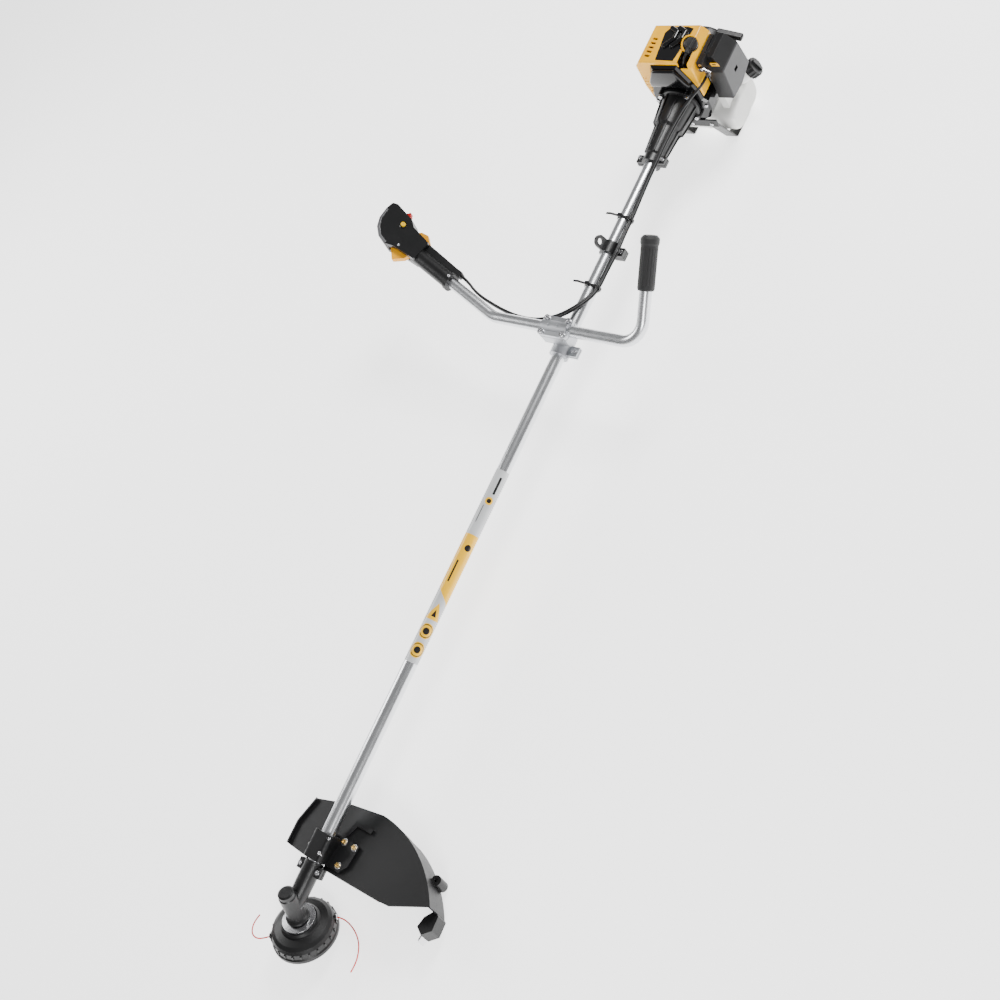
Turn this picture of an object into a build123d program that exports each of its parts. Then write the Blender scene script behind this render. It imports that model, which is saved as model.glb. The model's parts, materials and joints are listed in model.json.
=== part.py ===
from build123d import *

import math
import os

os.makedirs("parts", exist_ok=True)

# Petrol string trimmer. Everything is drawn in the shaft frame, in millimetres: the origin is on
# the tube axis at the mouth of the clutch housing, +X runs to the trimmer head, +Y to the
# operator's left and +Z up. The last section lays the machine on level ground.

# Driving dimensions: tube and drive
TUBE_RADIUS = 13.0
TUBE_WALL = 1.5
TUBE_START = -44.0
TUBE_LENGTH = 1500.0
TUBE_END = TUBE_START + TUBE_LENGTH
SHAFT_RADIUS = 4.0
FIT = 0.02
RUNNING = 0.05

# Handlebar
BAR_RADIUS = 11.0
BAR_WALL = 1.5
BAR_X = 395.9
BAR_Z = 40.7
BAR_LEFT = 183.1
BAR_RIGHT = -150.9
BAR_BEND = 42.0
LEG_LEAN = 52.5
LEG_SPLAY = 24.85
LEFT_LEG_LENGTH = 176.0
THROTTLE_LEG_LENGTH = 224.0

# Trimmer head
HEAD_X = 1505.1
HEAD_TILT = 60.0
PINION_TEETH = 14
GEAR_TEETH = 19
CONE_OUTER = 20.0
CONE_INNER = 13.0
PINION_CONE = 25.0
GEAR_CONE = 35.0
RIM_RADIUS = 59.0
RIM_DROP = 75.0
EYELET_ANGLE = 139.0

# Guard
GUARD_X = 1385.6
GUARD_Z = -20.0
GUARD_TILT = 15.0
GUARD_SHEET = 3.0
SKIRT_DEPTH = 30.0

# Engine
CLUTCH_FACE = -145.0
FAN_FRONT = -148.0
FAN_REAR = -190.0
CRANK_REAR = -262.0
STARTER_REAR = -300.0
CYLINDER_X = -212.0
COVER_FRONT = -153.0
COVER_REAR = -240.0
CRANK_THROW = 14.0
STAND_X = -200.0
STAND_DROP = 140.0
STARTER_RADIUS = 44.0
PULLEY_RADIUS = 30.0

# Cords
THROTTLE_CABLE_RADIUS = 2.75
SWITCH_LEAD_RADIUS = 2.5
LINE_RADIUS = 1.2
CABLE_OFFSET = 3.1


def sine(angle):
    return math.sin(math.radians(angle))


def cosine(angle):
    return math.cos(math.radians(angle))


LEG = Vector(-sine(LEG_LEAN), 0, cosine(LEG_LEAN))
THROTTLE_LEG = Vector(0, -cosine(LEG_SPLAY), 0) + LEG * sine(LEG_SPLAY)

# Local frames. SHAFT: X left, Y up, Z along the tube. GRIP: X up the throttle leg, Y forward.
# HEAD: Z up the spool axis, X forward. GUARD: Z out of the guard plate, Y left.
SHAFT = Plane(origin=(0, 0, 0), x_dir=(0, 1, 0), z_dir=(1, 0, 0))
GRIP = Plane(
    origin=(BAR_X, BAR_RIGHT, BAR_Z),
    x_dir=THROTTLE_LEG,
    z_dir=THROTTLE_LEG.cross(Vector(1, 0, 0)),
)
HEAD = Plane(
    origin=(HEAD_X, 0, 0),
    x_dir=(sine(HEAD_TILT), 0, cosine(HEAD_TILT)),
    z_dir=(-cosine(HEAD_TILT), 0, sine(HEAD_TILT)),
)
GUARD = Plane(
    origin=(GUARD_X, 0, GUARD_Z),
    x_dir=(cosine(GUARD_TILT), 0, sine(GUARD_TILT)),
    z_dir=(-sine(GUARD_TILT), 0, cosine(GUARD_TILT)),
)
RIM_LOW = HEAD.from_local_coords(Vector(-RIM_RADIUS, 0, -RIM_DROP))
GROUND_SLOPE = (STAND_DROP + RIM_LOW.Z) / (RIM_LOW.X - STAND_X)
PLUG = Plane(origin=(CYLINDER_X + 7, 16, 82), x_dir=(0.97, -0.177, -0.162), z_dir=(0.24, 0.715, 0.656))
FILLER = Plane(origin=(-267, 75, -53), z_dir=(-0.35, 0.83, 0.43))
GROUND_TILT = math.degrees(math.atan(GROUND_SLOPE))
PULL_UP = Vector(-sine(GROUND_TILT), 0, cosine(GROUND_TILT))
STARTER_GRIP_CENTRE = Vector(-285, 59, 32)


def ground_z(x):
    """The height of the ground under a point of the shaft frame."""
    return -STAND_DROP + (x - STAND_X) * GROUND_SLOPE


LOW = (Align.CENTER, Align.CENTER, Align.MIN)


def block(x, y, z):
    """A box between (low, high) pairs along X, Y and Z."""
    spans = (x, y, z)
    size = [high - low for low, high in spans]
    centre = [(high + low) / 2 for low, high in spans]
    return Pos(*centre) * Box(*size)


def rod(start, end, radius):
    """A round bar from start to end."""
    direction = Vector(*end) - Vector(*start)
    return Plane(origin=start, z_dir=direction) * Cylinder(radius, direction.length, align=LOW)


def turned(outline, plane):
    """A solid of revolution about the plane's Z, from (radius, height) pairs."""
    profile = Plane.XZ * Polygon(*outline, align=None)
    return plane * revolve(profile, Axis.Z)


def ring(outer, inner, low, high, plane):
    """A plain ring about the plane's Z between two heights."""
    return turned([(inner, low), (outer, low), (outer, high), (inner, high)], plane)


def prism(outline, plane, low, high):
    """An outline drawn in a plane, extruded between two heights of that plane."""
    face = plane.offset(low) * Polygon(*outline, align=None)
    return extrude(face, amount=high - low, dir=plane.z_dir)


def prism_y(outline, low, high):
    """An (X, Z) outline extruded between two Y positions."""
    face = Plane(origin=(0, low, 0), x_dir=(1, 0, 0), z_dir=(0, -1, 0)) * Polygon(*outline, align=None)
    return extrude(face, amount=high - low, dir=(0, 1, 0))


def at(plane, x, y, z):
    """A point given in a local frame, as a vector of the shaft frame."""
    return plane.from_local_coords(Vector(x, y, z))


def screw(head, tip, radius, head_radius, head_height):
    """A socket-head screw whose head bears at head and whose thread ends at tip."""
    axis = (Vector(*tip) - Vector(*head)).normalized()
    top = Vector(*head) - axis * head_height
    socket = rod(top, top + axis * (head_height * 0.55), head_radius * 0.5)
    return rod(head, tip, radius) + rod(top, head, head_radius) - socket


def cord_tube(name, points, radius):
    """A round cord along straight runs joined by arcs as large as the runs allow."""
    corners = [Vector(*point) for point in points]
    radii = []
    for before, corner, after in zip(corners, corners[1:], corners[2:]):
        run_in = corner - before
        run_out = after - corner
        turn = run_in.get_angle(run_out)
        shorter = min(run_in.length, run_out.length)
        radii.append(0.45 * shorter / math.tan(math.radians(turn) / 2))
    path = FilletPolyline(*corners, radius=radii)
    tube = sweep(Plane(origin=path @ 0, z_dir=path % 0) * Circle(radius), path=path)
    expected = math.pi * radius**2 * path.length
    print(name, "length", round(path.length, 1), "radii", [round(value) for value in radii])
    print(name, "volume ratio", round(tube.volume / expected, 4))
    return tube


# Tube and drive shaft


def make_tube():
    return ring(TUBE_RADIUS, TUBE_RADIUS - TUBE_WALL, TUBE_START, TUBE_END, SHAFT)


def make_bearings():
    """Ball bearings and the bushes that carry the drive shaft, each a plain ring."""
    bore = TUBE_RADIUS - TUBE_WALL
    rings = [ring(bore, SHAFT_RADIUS + RUNNING, x, x + 20, SHAFT) for x in range(120, 1400, 300)]
    rings.append(ring(13, 7 + RUNNING, -104, -94, SHAFT))
    rings.append(ring(15, 6 + RUNNING, -198, -190, SHAFT))
    rings.append(ring(15, 6 + RUNNING, -250, -242, SHAFT))
    rings.append(ring(11, 5 + RUNNING, 1464, 1474, SHAFT))
    for low, high in ((-24, -16), (-12, -5), (24, 31)):
        rings.append(ring(10, SHAFT_RADIUS + RUNNING, low, high, HEAD))
    return rings


def make_drive_shaft():
    return rod((-112, 0, 0), (HEAD_X - 14.5, 0, 0), SHAFT_RADIUS)


def bevel_gear(teeth, cone, phase, back, bore):
    """A straight bevel gear with its apex at the origin and its teeth up the Z axis.

    The teeth are involute on the back cone and shrink towards the apex. Phase turns the
    first tooth about Z from the X axis.
    """
    module = 2 * CONE_OUTER * sine(cone) / teeth
    virtual_pitch = CONE_OUTER * math.tan(math.radians(cone))
    base = virtual_pitch * cosine(20)
    tip = virtual_pitch + 0.85 * module
    root = virtual_pitch - 1.2 * module
    half_tooth = math.pi / 2 * module / virtual_pitch / 2 - 0.16 / virtual_pitch
    pitch_involute = math.tan(math.acos(base / virtual_pitch)) - math.acos(base / virtual_pitch)
    flank = [(root - 0.4, half_tooth + pitch_involute)]
    for step in range(5):
        radius = max(base, root) + (tip - max(base, root)) * step / 4
        roll = math.acos(min(1.0, base / radius))
        flank.append((radius, half_tooth + pitch_involute - (math.tan(roll) - roll)))
    section = [(r * math.cos(a) - virtual_pitch, r * math.sin(a)) for r, a in flank]
    outline = section + [(height, -side) for height, side in reversed(section)]

    outer_root = (
        CONE_OUTER * sine(cone) - 1.2 * module * cosine(cone),
        CONE_OUTER * cosine(cone) + 1.2 * module * sine(cone),
    )
    inner_root = tuple(value * CONE_INNER / CONE_OUTER for value in outer_root)
    blank = [(bore, inner_root[1]), inner_root, outer_root, (outer_root[0], back), (bore, back)]
    gear = turned(blank, Plane.XY)
    for index in range(teeth):
        turn = phase + 360 * index / teeth
        ends = []
        for distance in (CONE_OUTER, CONE_INNER):
            scale = distance / CONE_OUTER
            centre = (distance * sine(cone), 0, distance * cosine(cone))
            across = (cosine(cone), 0, -sine(cone))
            face = Plane(origin=centre, x_dir=across, z_dir=(sine(cone), 0, cosine(cone)))
            points = [(height * scale, side * scale) for height, side in outline]
            ends.append(Rot(0, 0, turn) * (face * Polygon(*points, align=None)))
        gear += loft(ends, ruled=True)
    return gear


def make_pinion():
    """The driving bevel gear, its teeth facing the spool axis."""
    apex = Plane(origin=(HEAD_X, 0, 0), x_dir=(0, 0, 1), z_dir=(-1, 0, 0))
    gear = apex * bevel_gear(PINION_TEETH, PINION_CONE, 0, 30, SHAFT_RADIUS)
    boss = ring(5, SHAFT_RADIUS, TUBE_END + 2, HEAD_X - 30, SHAFT)
    return gear + boss


def make_arbor():
    """The driven bevel gear and the output shaft with its drive washer, two solids."""
    apex = Plane(origin=(HEAD_X, 0, 0), x_dir=-HEAD.x_dir, z_dir=HEAD.z_dir)
    half_pitch = 180 / GEAR_TEETH
    gear = apex * bevel_gear(GEAR_TEETH, GEAR_CONE, half_pitch, 23, SHAFT_RADIUS)
    outline = [(0, -70), (5, -70), (5, -36), (29, -36), (29, -31.5), (SHAFT_RADIUS, -29)]
    outline += [(SHAFT_RADIUS, 30), (0, 30)]
    return [gear, turned(outline, HEAD)]


def make_gear_case():
    """The angled gear head: tube socket, bearing seats, top cap and bottom flange."""
    neck = turned([(0, 1424), (16.5, 1424), (16.5, 1462), (15.5, HEAD_X), (0, HEAD_X)], SHAFT)
    barrel = turned(
        [(0, -28), (20, -28), (20, -24), (15.5, -21), (15.5, 31), (14, 33), (14, 40), (11, 42.2), (0, 42.2)],
        HEAD,
    )
    ears = block((1428, 1446), (-27, 27), (-6, 6))
    case = neck + barrel + ears
    case -= rod((1420, 0, 0), (TUBE_END, 0, 0), TUBE_RADIUS + FIT)
    case -= rod((TUBE_END - 1, 0, 0), (1464, 0, 0), 8)
    case -= rod((1463.9, 0, 0), (1474, 0, 0), 11)
    case -= rod((1474, 0, 0), (HEAD_X - 8, 0, 0), 10.8)
    case -= turned([(0, -5), (10, -5), (13.4, -1), (13.4, 24), (0, 24)], HEAD)
    case -= turned([(0, 23.9), (10, 23.9), (10, 31), (5, 31), (5, 33), (0, 33)], HEAD)
    case -= turned([(0, -16), (7, -16), (7, -12), (10, -12), (10, -4.9), (0, -4.9)], HEAD)
    case -= turned([(0, -30), (7, -30), (7, -24), (10, -24), (10, -16), (0, -16)], HEAD)
    case -= block((1418, 1447), (13, 30), (-0.8, 0.8))
    for y in (-21, 21):
        case -= rod((1437, y, -8), (1437, y, 8), 2.5)
    return case


# Spool, knob and cutting line


def make_spool_housing():
    """The bell over the line spool, with two round line outlets in its side."""
    outer = [(5.1, -36.1), (31, -36.1), (34, -39), (35, -43), (47, -46), (53, -50), (56, -56), (57, -66)]
    outer += [(RIM_RADIUS, -69), (RIM_RADIUS, -RIM_DROP)]
    inner = [(RIM_RADIUS - 3, -RIM_DROP), (RIM_RADIUS - 4, -69), (53, -63), (52, -56), (49, -51)]
    inner += [(32, -47), (31, -41), (5.1, -40)]
    housing = turned(outer + inner, HEAD)
    for index in range(24):
        angle = EYELET_ANGLE + 7.5 + 15 * index
        knurl = HEAD * Rot(0, 0, angle) * Pos(56.2, 0, -61) * Box(4, 3, 7)
        housing += knurl
    for angle in (EYELET_ANGLE, EYELET_ANGLE + 180):
        boss = HEAD * Rot(0, 0, angle) * Pos(0, 0, -58) * rod((53.6, 0, 0), (58.5, 0, 0), 5)
        hole = HEAD * Rot(0, 0, angle) * Pos(0, 0, -58) * rod((45, 0, 0), (70, 0, 0), LINE_RADIUS + 0.4)
        housing += boss
        housing -= hole
    return housing


def make_line_spool():
    outline = [(5.1, -72), (30, -72), (48, -71), (48, -69), (22, -68), (22, -56), (43, -58)]
    outline += [(43, -56), (22, -50), (5.1, -50)]
    return turned(outline, HEAD)


def make_bump_knob():
    """The knob under the spool, pushed up to feed line, with six finger ribs."""
    outline = [(5.4, -72), (30, -72), (36, -74), (36, -78), (33, -80), (31, -84), (20, -87)]
    outline += [(0, -87), (0, -80), (5.4, -80)]
    knob = turned(outline, HEAD)
    for index in range(6):
        rib = HEAD * Rot(0, 0, 60 * index) * Pos(33, 0, -78) * Cylinder(4, 6)
        knob += rib
    return knob



def line_points(angle, drawn):
    """Line points in the head's frame, starting at an outlet and running as drawn."""
    start = (58.6 * cosine(angle), 58.6 * sine(angle))
    return [at(HEAD, x, y, -58) for x, y in [start] + drawn]


LINE_LEFT = line_points(
    EYELET_ANGLE, [(-48, 49), (-47, 68), (-41, 88), (-30, 107), (-14, 121), (3, 130), (17, 133)]
)
LINE_RIGHT = line_points(
    EYELET_ANGLE + 180, [(54, -47), (60, -58), (58, -71), (48, -81), (36, -86), (25, -87)]
)


# Guard


def guard_face():
    """The guard's plan: straight front edge, chamfered corner, arc round the back."""
    corners = [(-80, 59), (-70, -8), (-61, -42), (-50, -80), (0, -86), (40, -78), (45, 19)]
    corners += [(42, 142), (40, 165), (7.5, 232.5)]
    straight = Polyline(*corners)
    arc = ThreePointArc((7.5, 232.5), (-54, 158), (-80, 59))
    return make_face([*straight.edges(), arc])


def arc_band(inner_shift, outer_shift):
    """A curved strip along the guard's back edge, between two inward shifts."""
    ends = []
    for shift in (outer_shift, inner_shift):
        start = (-80 + shift, 59 + 0.09 * shift)
        middle = (-54 + 0.94 * shift, 158 - 0.35 * shift)
        finish = (7.5 + 0.7 * shift, 232.5 - 0.71 * shift)
        ends.append((start, middle, finish))
    (start, middle, finish), (inner_start, inner_middle, inner_finish) = ends
    outline = [
        ThreePointArc(start, middle, finish),
        Line(finish, inner_finish),
        ThreePointArc(inner_finish, inner_middle, inner_start),
        Line(inner_start, start),
    ]
    return make_face(outline)


GUARD_SCREW_PLACES = [(-9, 26), (-9, 50), (29, 42)]
TUBE_SCREW_PLACES = [(2, 17.5), (30, 17.5)]


def make_guard():
    plate = extrude(GUARD.offset(-GUARD_SHEET) * guard_face(), amount=GUARD_SHEET, dir=GUARD.z_dir)
    skirt = extrude(
        GUARD.offset(-SKIRT_DEPTH) * arc_band(GUARD_SHEET, 0), amount=SKIRT_DEPTH - 1, dir=GUARD.z_dir
    )
    lip = prism([(-50, -80), (0, -86), (40, -78), (40, -75), (0, -83), (-47, -77)], GUARD, -12, 6)
    back_outline = [(-79.5, 63), (-80, 59), (-70, -8), (-61, -42), (-50, -80), (-47, -79), (-58, -41)]
    back_outline += [(-67, -7), (-76.5, 63)]
    back = prism(back_outline, GUARD, -16, 0)
    front = prism([(40, -78), (45, 19), (42, 142), (39, 142), (42, 19), (37, -78)], GUARD, -9, 0)
    rib = prism([(-50, 22), (-50, 62), (-42, 62), (-42, 30), (-20, 24), (-20, 18)], GUARD, -1, 5)
    guard = plate + skirt + lip + back + front + rib
    guard -= rod((1360, 0, 0), (1450, 0, 0), 17.5)
    guard -= GUARD * Pos(21, -39, 0) * Cylinder(4, 20)
    for x, y in GUARD_SCREW_PLACES:
        guard -= GUARD * Pos(x, y, 0) * Cylinder(2.5, 20)
    return guard


def make_guard_skirt():
    """The clip-on extension below the guard's skirt, with the blade's carrier at its end."""
    band = extrude(GUARD.offset(-62) * arc_band(GUARD_SHEET, 0), amount=62 - SKIRT_DEPTH - 0.1, dir=GUARD.z_dir)
    keep = prism([(-100, 120), (-100, 260), (60, 260), (60, 120)], GUARD, -80, 10)
    carrier = prism([(4, 226), (10, 236), (34, 240), (48, 226), (40, 212), (22, 214)], GUARD, -64, -32)
    boss = GUARD * Pos(-36, 197, -46) * Cylinder(9, 30)
    hole = GUARD * Pos(-36, 197, -46) * Cylinder(3, 40)
    slot = prism([(30, 221.5), (60, 221.5), (60, 224.5), (30, 224.5)], GUARD, -70, -36)
    return (band & keep) + carrier + boss - hole - slot


def make_line_cutter():
    """The small steel blade that trims the line to length."""
    return prism([(30.2, 221.6), (54, 221.6), (58, 223), (54, 224.4), (30.2, 224.4)], GUARD, -62, -40)


def make_guard_bracket():
    """The block that clamps the guard to the tube, with a foot on the guard plate."""
    saddle = block((1374, 1421), (-19, 21), (-14, 18))
    saddle = fillet(saddle.edges().filter_by(Axis.X).sort_by(Axis.Z)[2:], 8)
    foot = prism([(-14, -20), (-14, 58), (22, 60), (38, 50), (38, -20)], GUARD, 0, 6)
    bracket = saddle + foot
    bracket -= rod((1360, 0, 0), (1430, 0, 0), TUBE_RADIUS + FIT)
    bracket -= prism([(-30, -30), (-30, 70), (60, 70), (60, -30)], GUARD, -20, 0)
    for x, y in GUARD_SCREW_PLACES:
        bracket -= GUARD * Pos(x, y, 0) * Cylinder(2.5, 30)
    for x, y in TUBE_SCREW_PLACES:
        bracket -= GUARD * Pos(x, y, 30) * Cylinder(2.5, 46)
        bracket -= GUARD * Pos(x, y, 34) * Cylinder(3.5, 12, align=LOW)
    return bracket


def make_guard_screws():
    """Three brass screws through the bracket's foot into the guard."""
    screws = []
    for x, y in GUARD_SCREW_PLACES:
        screws.append(screw(at(GUARD, x, y, 6), at(GUARD, x, y, -GUARD_SHEET), 2.4, 4.2, 3))
    return screws


# Handlebar, clamp and left grip


def make_handlebar():
    centre = FilletPolyline(
        Vector(BAR_X, BAR_LEFT, BAR_Z) + LEG * LEFT_LEG_LENGTH,
        (BAR_X, BAR_LEFT, BAR_Z),
        (BAR_X, BAR_RIGHT, BAR_Z),
        Vector(BAR_X, BAR_RIGHT, BAR_Z) + THROTTLE_LEG * THROTTLE_LEG_LENGTH,
        radius=BAR_BEND,
    )
    start = Plane(origin=centre @ 0, z_dir=centre % 0)
    outer = sweep(start * Circle(BAR_RADIUS), path=centre)
    inner = sweep(start * Circle(BAR_RADIUS - BAR_WALL), path=centre)
    return outer - inner


BAR_BOLTS = [(BAR_X + dx, y) for dx in (-14.5, 14.5) for y in (-24, 24)]


def make_bar_clamp_base():
    """The saddle round the tube that carries the handlebar, with its locking ear."""
    pad = block((BAR_X - 20, BAR_X + 20), (-33, 33), (18, BAR_Z - 0.6))
    pad = fillet(pad.edges().filter_by(Axis.Z), 6)
    web = block((BAR_X - 18, BAR_X + 18), (-15, 15), (0, 24))
    collar = rod((BAR_X - 20, 0, 0), (BAR_X + 36, 0, 0), 19)
    ear = block((BAR_X + 12, BAR_X + 32), (8, 40), (-5, 5))
    base = pad + web + collar + ear
    base -= rod((BAR_X - 40, 0, 0), (BAR_X + 50, 0, 0), TUBE_RADIUS + FIT)
    base -= rod((BAR_X, -60, BAR_Z), (BAR_X, 60, BAR_Z), BAR_RADIUS + FIT)
    base -= block((BAR_X + 6, BAR_X + 40), (12, 50), (-0.8, 0.8))
    base -= rod((BAR_X + 22, 32, -9), (BAR_X + 22, 32, 9), 3)
    for x, y in BAR_BOLTS:
        base -= rod((x, y, 22), (x, y, 50), 3)
    return base


def make_bar_clamp_cap():
    """The ribbed cap that holds the handlebar down with four bolts."""
    cap = block((BAR_X - 20, BAR_X + 20), (-33, 33), (BAR_Z + 0.6, BAR_Z + 9))
    cap = fillet(cap.edges().filter_by(Axis.Z), 6)
    dome = rod((BAR_X, -30, BAR_Z), (BAR_X, 30, BAR_Z), BAR_RADIUS + 4)
    keep = block((BAR_X - 30, BAR_X + 30), (-40, 40), (BAR_Z + 0.6, BAR_Z + 30))
    cap = cap + (dome & keep)
    cap -= rod((BAR_X, -60, BAR_Z), (BAR_X, 60, BAR_Z), BAR_RADIUS + FIT)
    for x, y in BAR_BOLTS:
        cap -= rod((x, y, 30), (x, y, 70), 3)
        cap -= rod((x, y, BAR_Z + 9), (x, y, BAR_Z + 20), 5.3)
    for y in (-10, 10):
        cap -= block((BAR_X - 4, BAR_X + 4), (y - 3, y + 3), (BAR_Z + 13.6, BAR_Z + 20))
    return cap


def make_left_grip():
    """The fluted rubber grip on the plain end of the handlebar."""
    corner = Vector(BAR_X, BAR_LEFT, BAR_Z)
    frame = Plane(origin=corner, x_dir=(0, 1, 0), z_dir=LEG)
    outline = [(0, 94), (14, 94), (15.2, 97), (15.2, 170), (16.6, 174), (16.6, 182), (12, 187), (0, 188)]
    grip = turned(outline, frame)
    for index in range(18):
        groove = frame * Rot(0, 0, 20 * index) * Pos(16, 0, 135) * Cylinder(1.3, 62)
        grip -= groove
    grip -= frame * Pos(0, 0, 90) * Cylinder(BAR_RADIUS + FIT, LEFT_LEG_LENGTH - 90, align=LOW)
    return grip


# Throttle grip and its controls


TRIGGER_PIVOT = (281, 4)
LOCKOUT_PIVOT = (262, -21)


def make_throttle_grip():
    """The moulded grip: a round handle that swells into a slanted control head."""
    handle = GRIP * Rot(0, 90, 0) * Pos(0, 0, 124) * Cylinder(17, 106, align=LOW)
    ridge = prism([(124, -27), (124, -8), (236, -8), (236, -30), (190, -29)], GRIP, -8, 8)
    outline = [(214, 15), (240, 17), (270, 20), (293, 28), (313, 23), (332, 10), (343, -8), (347, -32)]
    outline += [(345, -48), (333, -52), (282, -45), (266, -35), (214, -29)]
    head = prism(outline, GRIP, -18, 18)
    head = fillet(head.edges().filter_by(Axis((0, 0, 0), GRIP.z_dir)), 5)
    collar = GRIP * Rot(0, 90, 0) * Pos(0, 0, 122) * Cylinder(19, 8, align=LOW)
    collar += prism([(116, -27.5), (116, -16.5), (126, -16.5), (126, -27.5)], GRIP, -8, 8)
    body = handle + ridge + head + collar
    bar_hole = Cylinder(BAR_RADIUS + FIT, THROTTLE_LEG_LENGTH - 110, align=LOW)
    body -= GRIP * Rot(0, 90, 0) * Pos(0, 0, 110) * bar_hole
    body -= prism([(229, -10), (229, 40), (291, 40), (291, -10)], GRIP, -6.5, 6.5)
    body -= prism([(218, -70), (218, -13.5), (268, -13.5), (268, -70)], GRIP, -5.5, 5.5)
    body -= prism([(294, -70), (294, -44), (311, -44), (311, -70)], GRIP, -5.3, 5.3)
    body -= GRIP * Pos(288, -26, 11) * Cylinder(6.3, 20, align=LOW)
    for (x, y), radius in ((TRIGGER_PIVOT, 2), (LOCKOUT_PIVOT, 1.5)):
        pin = GRIP * Pos(x, y, 0) * Cylinder(radius - RUNNING, 14)
        body += pin
    return body


def make_trigger():
    """The throttle trigger: a fan-shaped ribbed finger lever on its pivot."""
    x, y = TRIGGER_PIVOT
    blade = prism([(286, 0), (283, 22), (259, 41), (240, 24), (235, 10), (239, 3)], GRIP, -5.5, 5.5)
    hub = GRIP * Pos(x, y, 0) * Cylinder(5.5, 11)
    trigger = blade + hub
    for index in range(5):
        angle = 104 + 9 * index
        start = at(GRIP, x + 44 * cosine(angle), y + 44 * sine(angle), -8)
        end = at(GRIP, x + 44 * cosine(angle), y + 44 * sine(angle), 8)
        trigger -= rod(start, end, 1.4)
    return trigger - GRIP * Pos(x, y, 0) * Cylinder(2, 20)


def make_lockout_lever():
    x, y = LOCKOUT_PIVOT
    outline = [(266, -18), (266, -28), (252, -40), (236, -43), (221, -33), (223, -26), (246, -22)]
    fin = prism(outline, GRIP, -4.5, 4.5)
    return fin - GRIP * Pos(x, y, 0) * Cylinder(1.5, 20)


def make_stop_switch():
    base = prism([(299.5, -53), (299.5, -45), (310, -45), (310, -53)], GRIP, -5, 5)
    rib = prism([(303, -57), (302, -53), (308, -53), (307, -57)], GRIP, -5, 5)
    return base + rib


def make_lock_button():
    """The oval half-throttle button on the side of the control head."""
    return GRIP * Pos(288, -26, 14.5) * Cylinder(6, 6.5, align=LOW)


# Harness clamp, ties and small steel screws


def make_harness_clamp():
    """The split band with the hanging eye for the harness hook."""
    band = rod((184, 0, 0), (208, 0, 0), 17.5)
    ear_frame = Plane(origin=(196, 0, 0), x_dir=(1, 0, 0), z_dir=(0, cosine(20), sine(20)))
    web = ear_frame * Pos(0, -21, 0) * Box(24, 18, 5)
    eye = ear_frame * Pos(0, -29, 0) * Cylinder(12, 5)
    lug = block((187, 205), (10, 30), (-10, -1.6))
    lower_lug = block((187, 205), (10, 30), (-19, -10.8))
    clamp = band + web + eye + lug + lower_lug
    clamp -= rod((180, 0, 0), (212, 0, 0), TUBE_RADIUS + FIT)
    clamp -= ear_frame * Pos(0, -29, 0) * Cylinder(6, 20)
    clamp -= block((180, 212), (8, 34), (-10.8, -10))
    clamp -= rod((196, 24, -22), (196, 24, 2), 2.5)
    return clamp


TIE_PLACES = (128.0, 281.0)


def make_cable_ties():
    """Two ties that hold the throttle cable and switch lead to the tube."""
    ties = []
    for x in TIE_PLACES:
        frame = SHAFT.offset(x - 2.3)
        around = [
            *Circle(TUBE_RADIUS + 0.05).edges(),
            *(Pos(16.6, 2 * CABLE_OFFSET) * Circle(THROTTLE_CABLE_RADIUS + 1.4)).edges(),
            *(Pos(16.6, 0) * Circle(SWITCH_LEAD_RADIUS + 1)).edges(),
        ]
        inner = make_hull(around)
        outer = offset(inner, 1.4)
        band = extrude(frame * (outer - inner), amount=4.6, dir=(1, 0, 0))
        head = block((x - 3.5, x + 3.5), (-7, 1), (TUBE_RADIUS + 0.6, TUBE_RADIUS + 6))
        tail = prism([(-7, 15.5), (-22, 20), (-33, 19), (-33, 18), (-22, 18), (-7, 14)], SHAFT, x - 2, x + 2)
        head -= rod((x - 9, 0, 0), (x + 9, 0, 0), TUBE_RADIUS + 0.05)
        ties.append(band + head + tail)
    return ties


def make_steel_screws():
    """Bright machine screws of the clamps, the gear head and the engine."""
    screws = []
    for x, y in BAR_BOLTS:
        screws.append(screw((x, y, BAR_Z + 9), (x, y, 22), 3, 5, 4.5))
    screws.append(screw((BAR_X + 22, 32, 5), (BAR_X + 22, 32, -5), 3, 5, 4))
    screws.append(screw((196, 24, -1.6), (196, 24, -19), 2.5, 4.2, 1.4))
    for y in (-21, 21):
        screws.append(screw((1437, y, 6), (1437, y, -6), 2.5, 4.2, 3.5))
        screws.append(screw((-8, y * 25 / 21, 7), (-8, y * 25 / 21, -7), 2.5, 4.2, 3.5))
    for angle in (45, 135, 225, 315):
        y = 41 * cosine(angle)
        z = 41 * sine(angle)
        screws.append(screw((-138, y, z), (-158, y, z), 2.5, 4.2, 3.5))
    for x, y in TUBE_SCREW_PLACES:
        screws.append(screw(at(GUARD, x, y, 34), at(GUARD, x, y, 7), 2.4, 3.2, 2))
    return screws


# Clutch housing and engine


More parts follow.
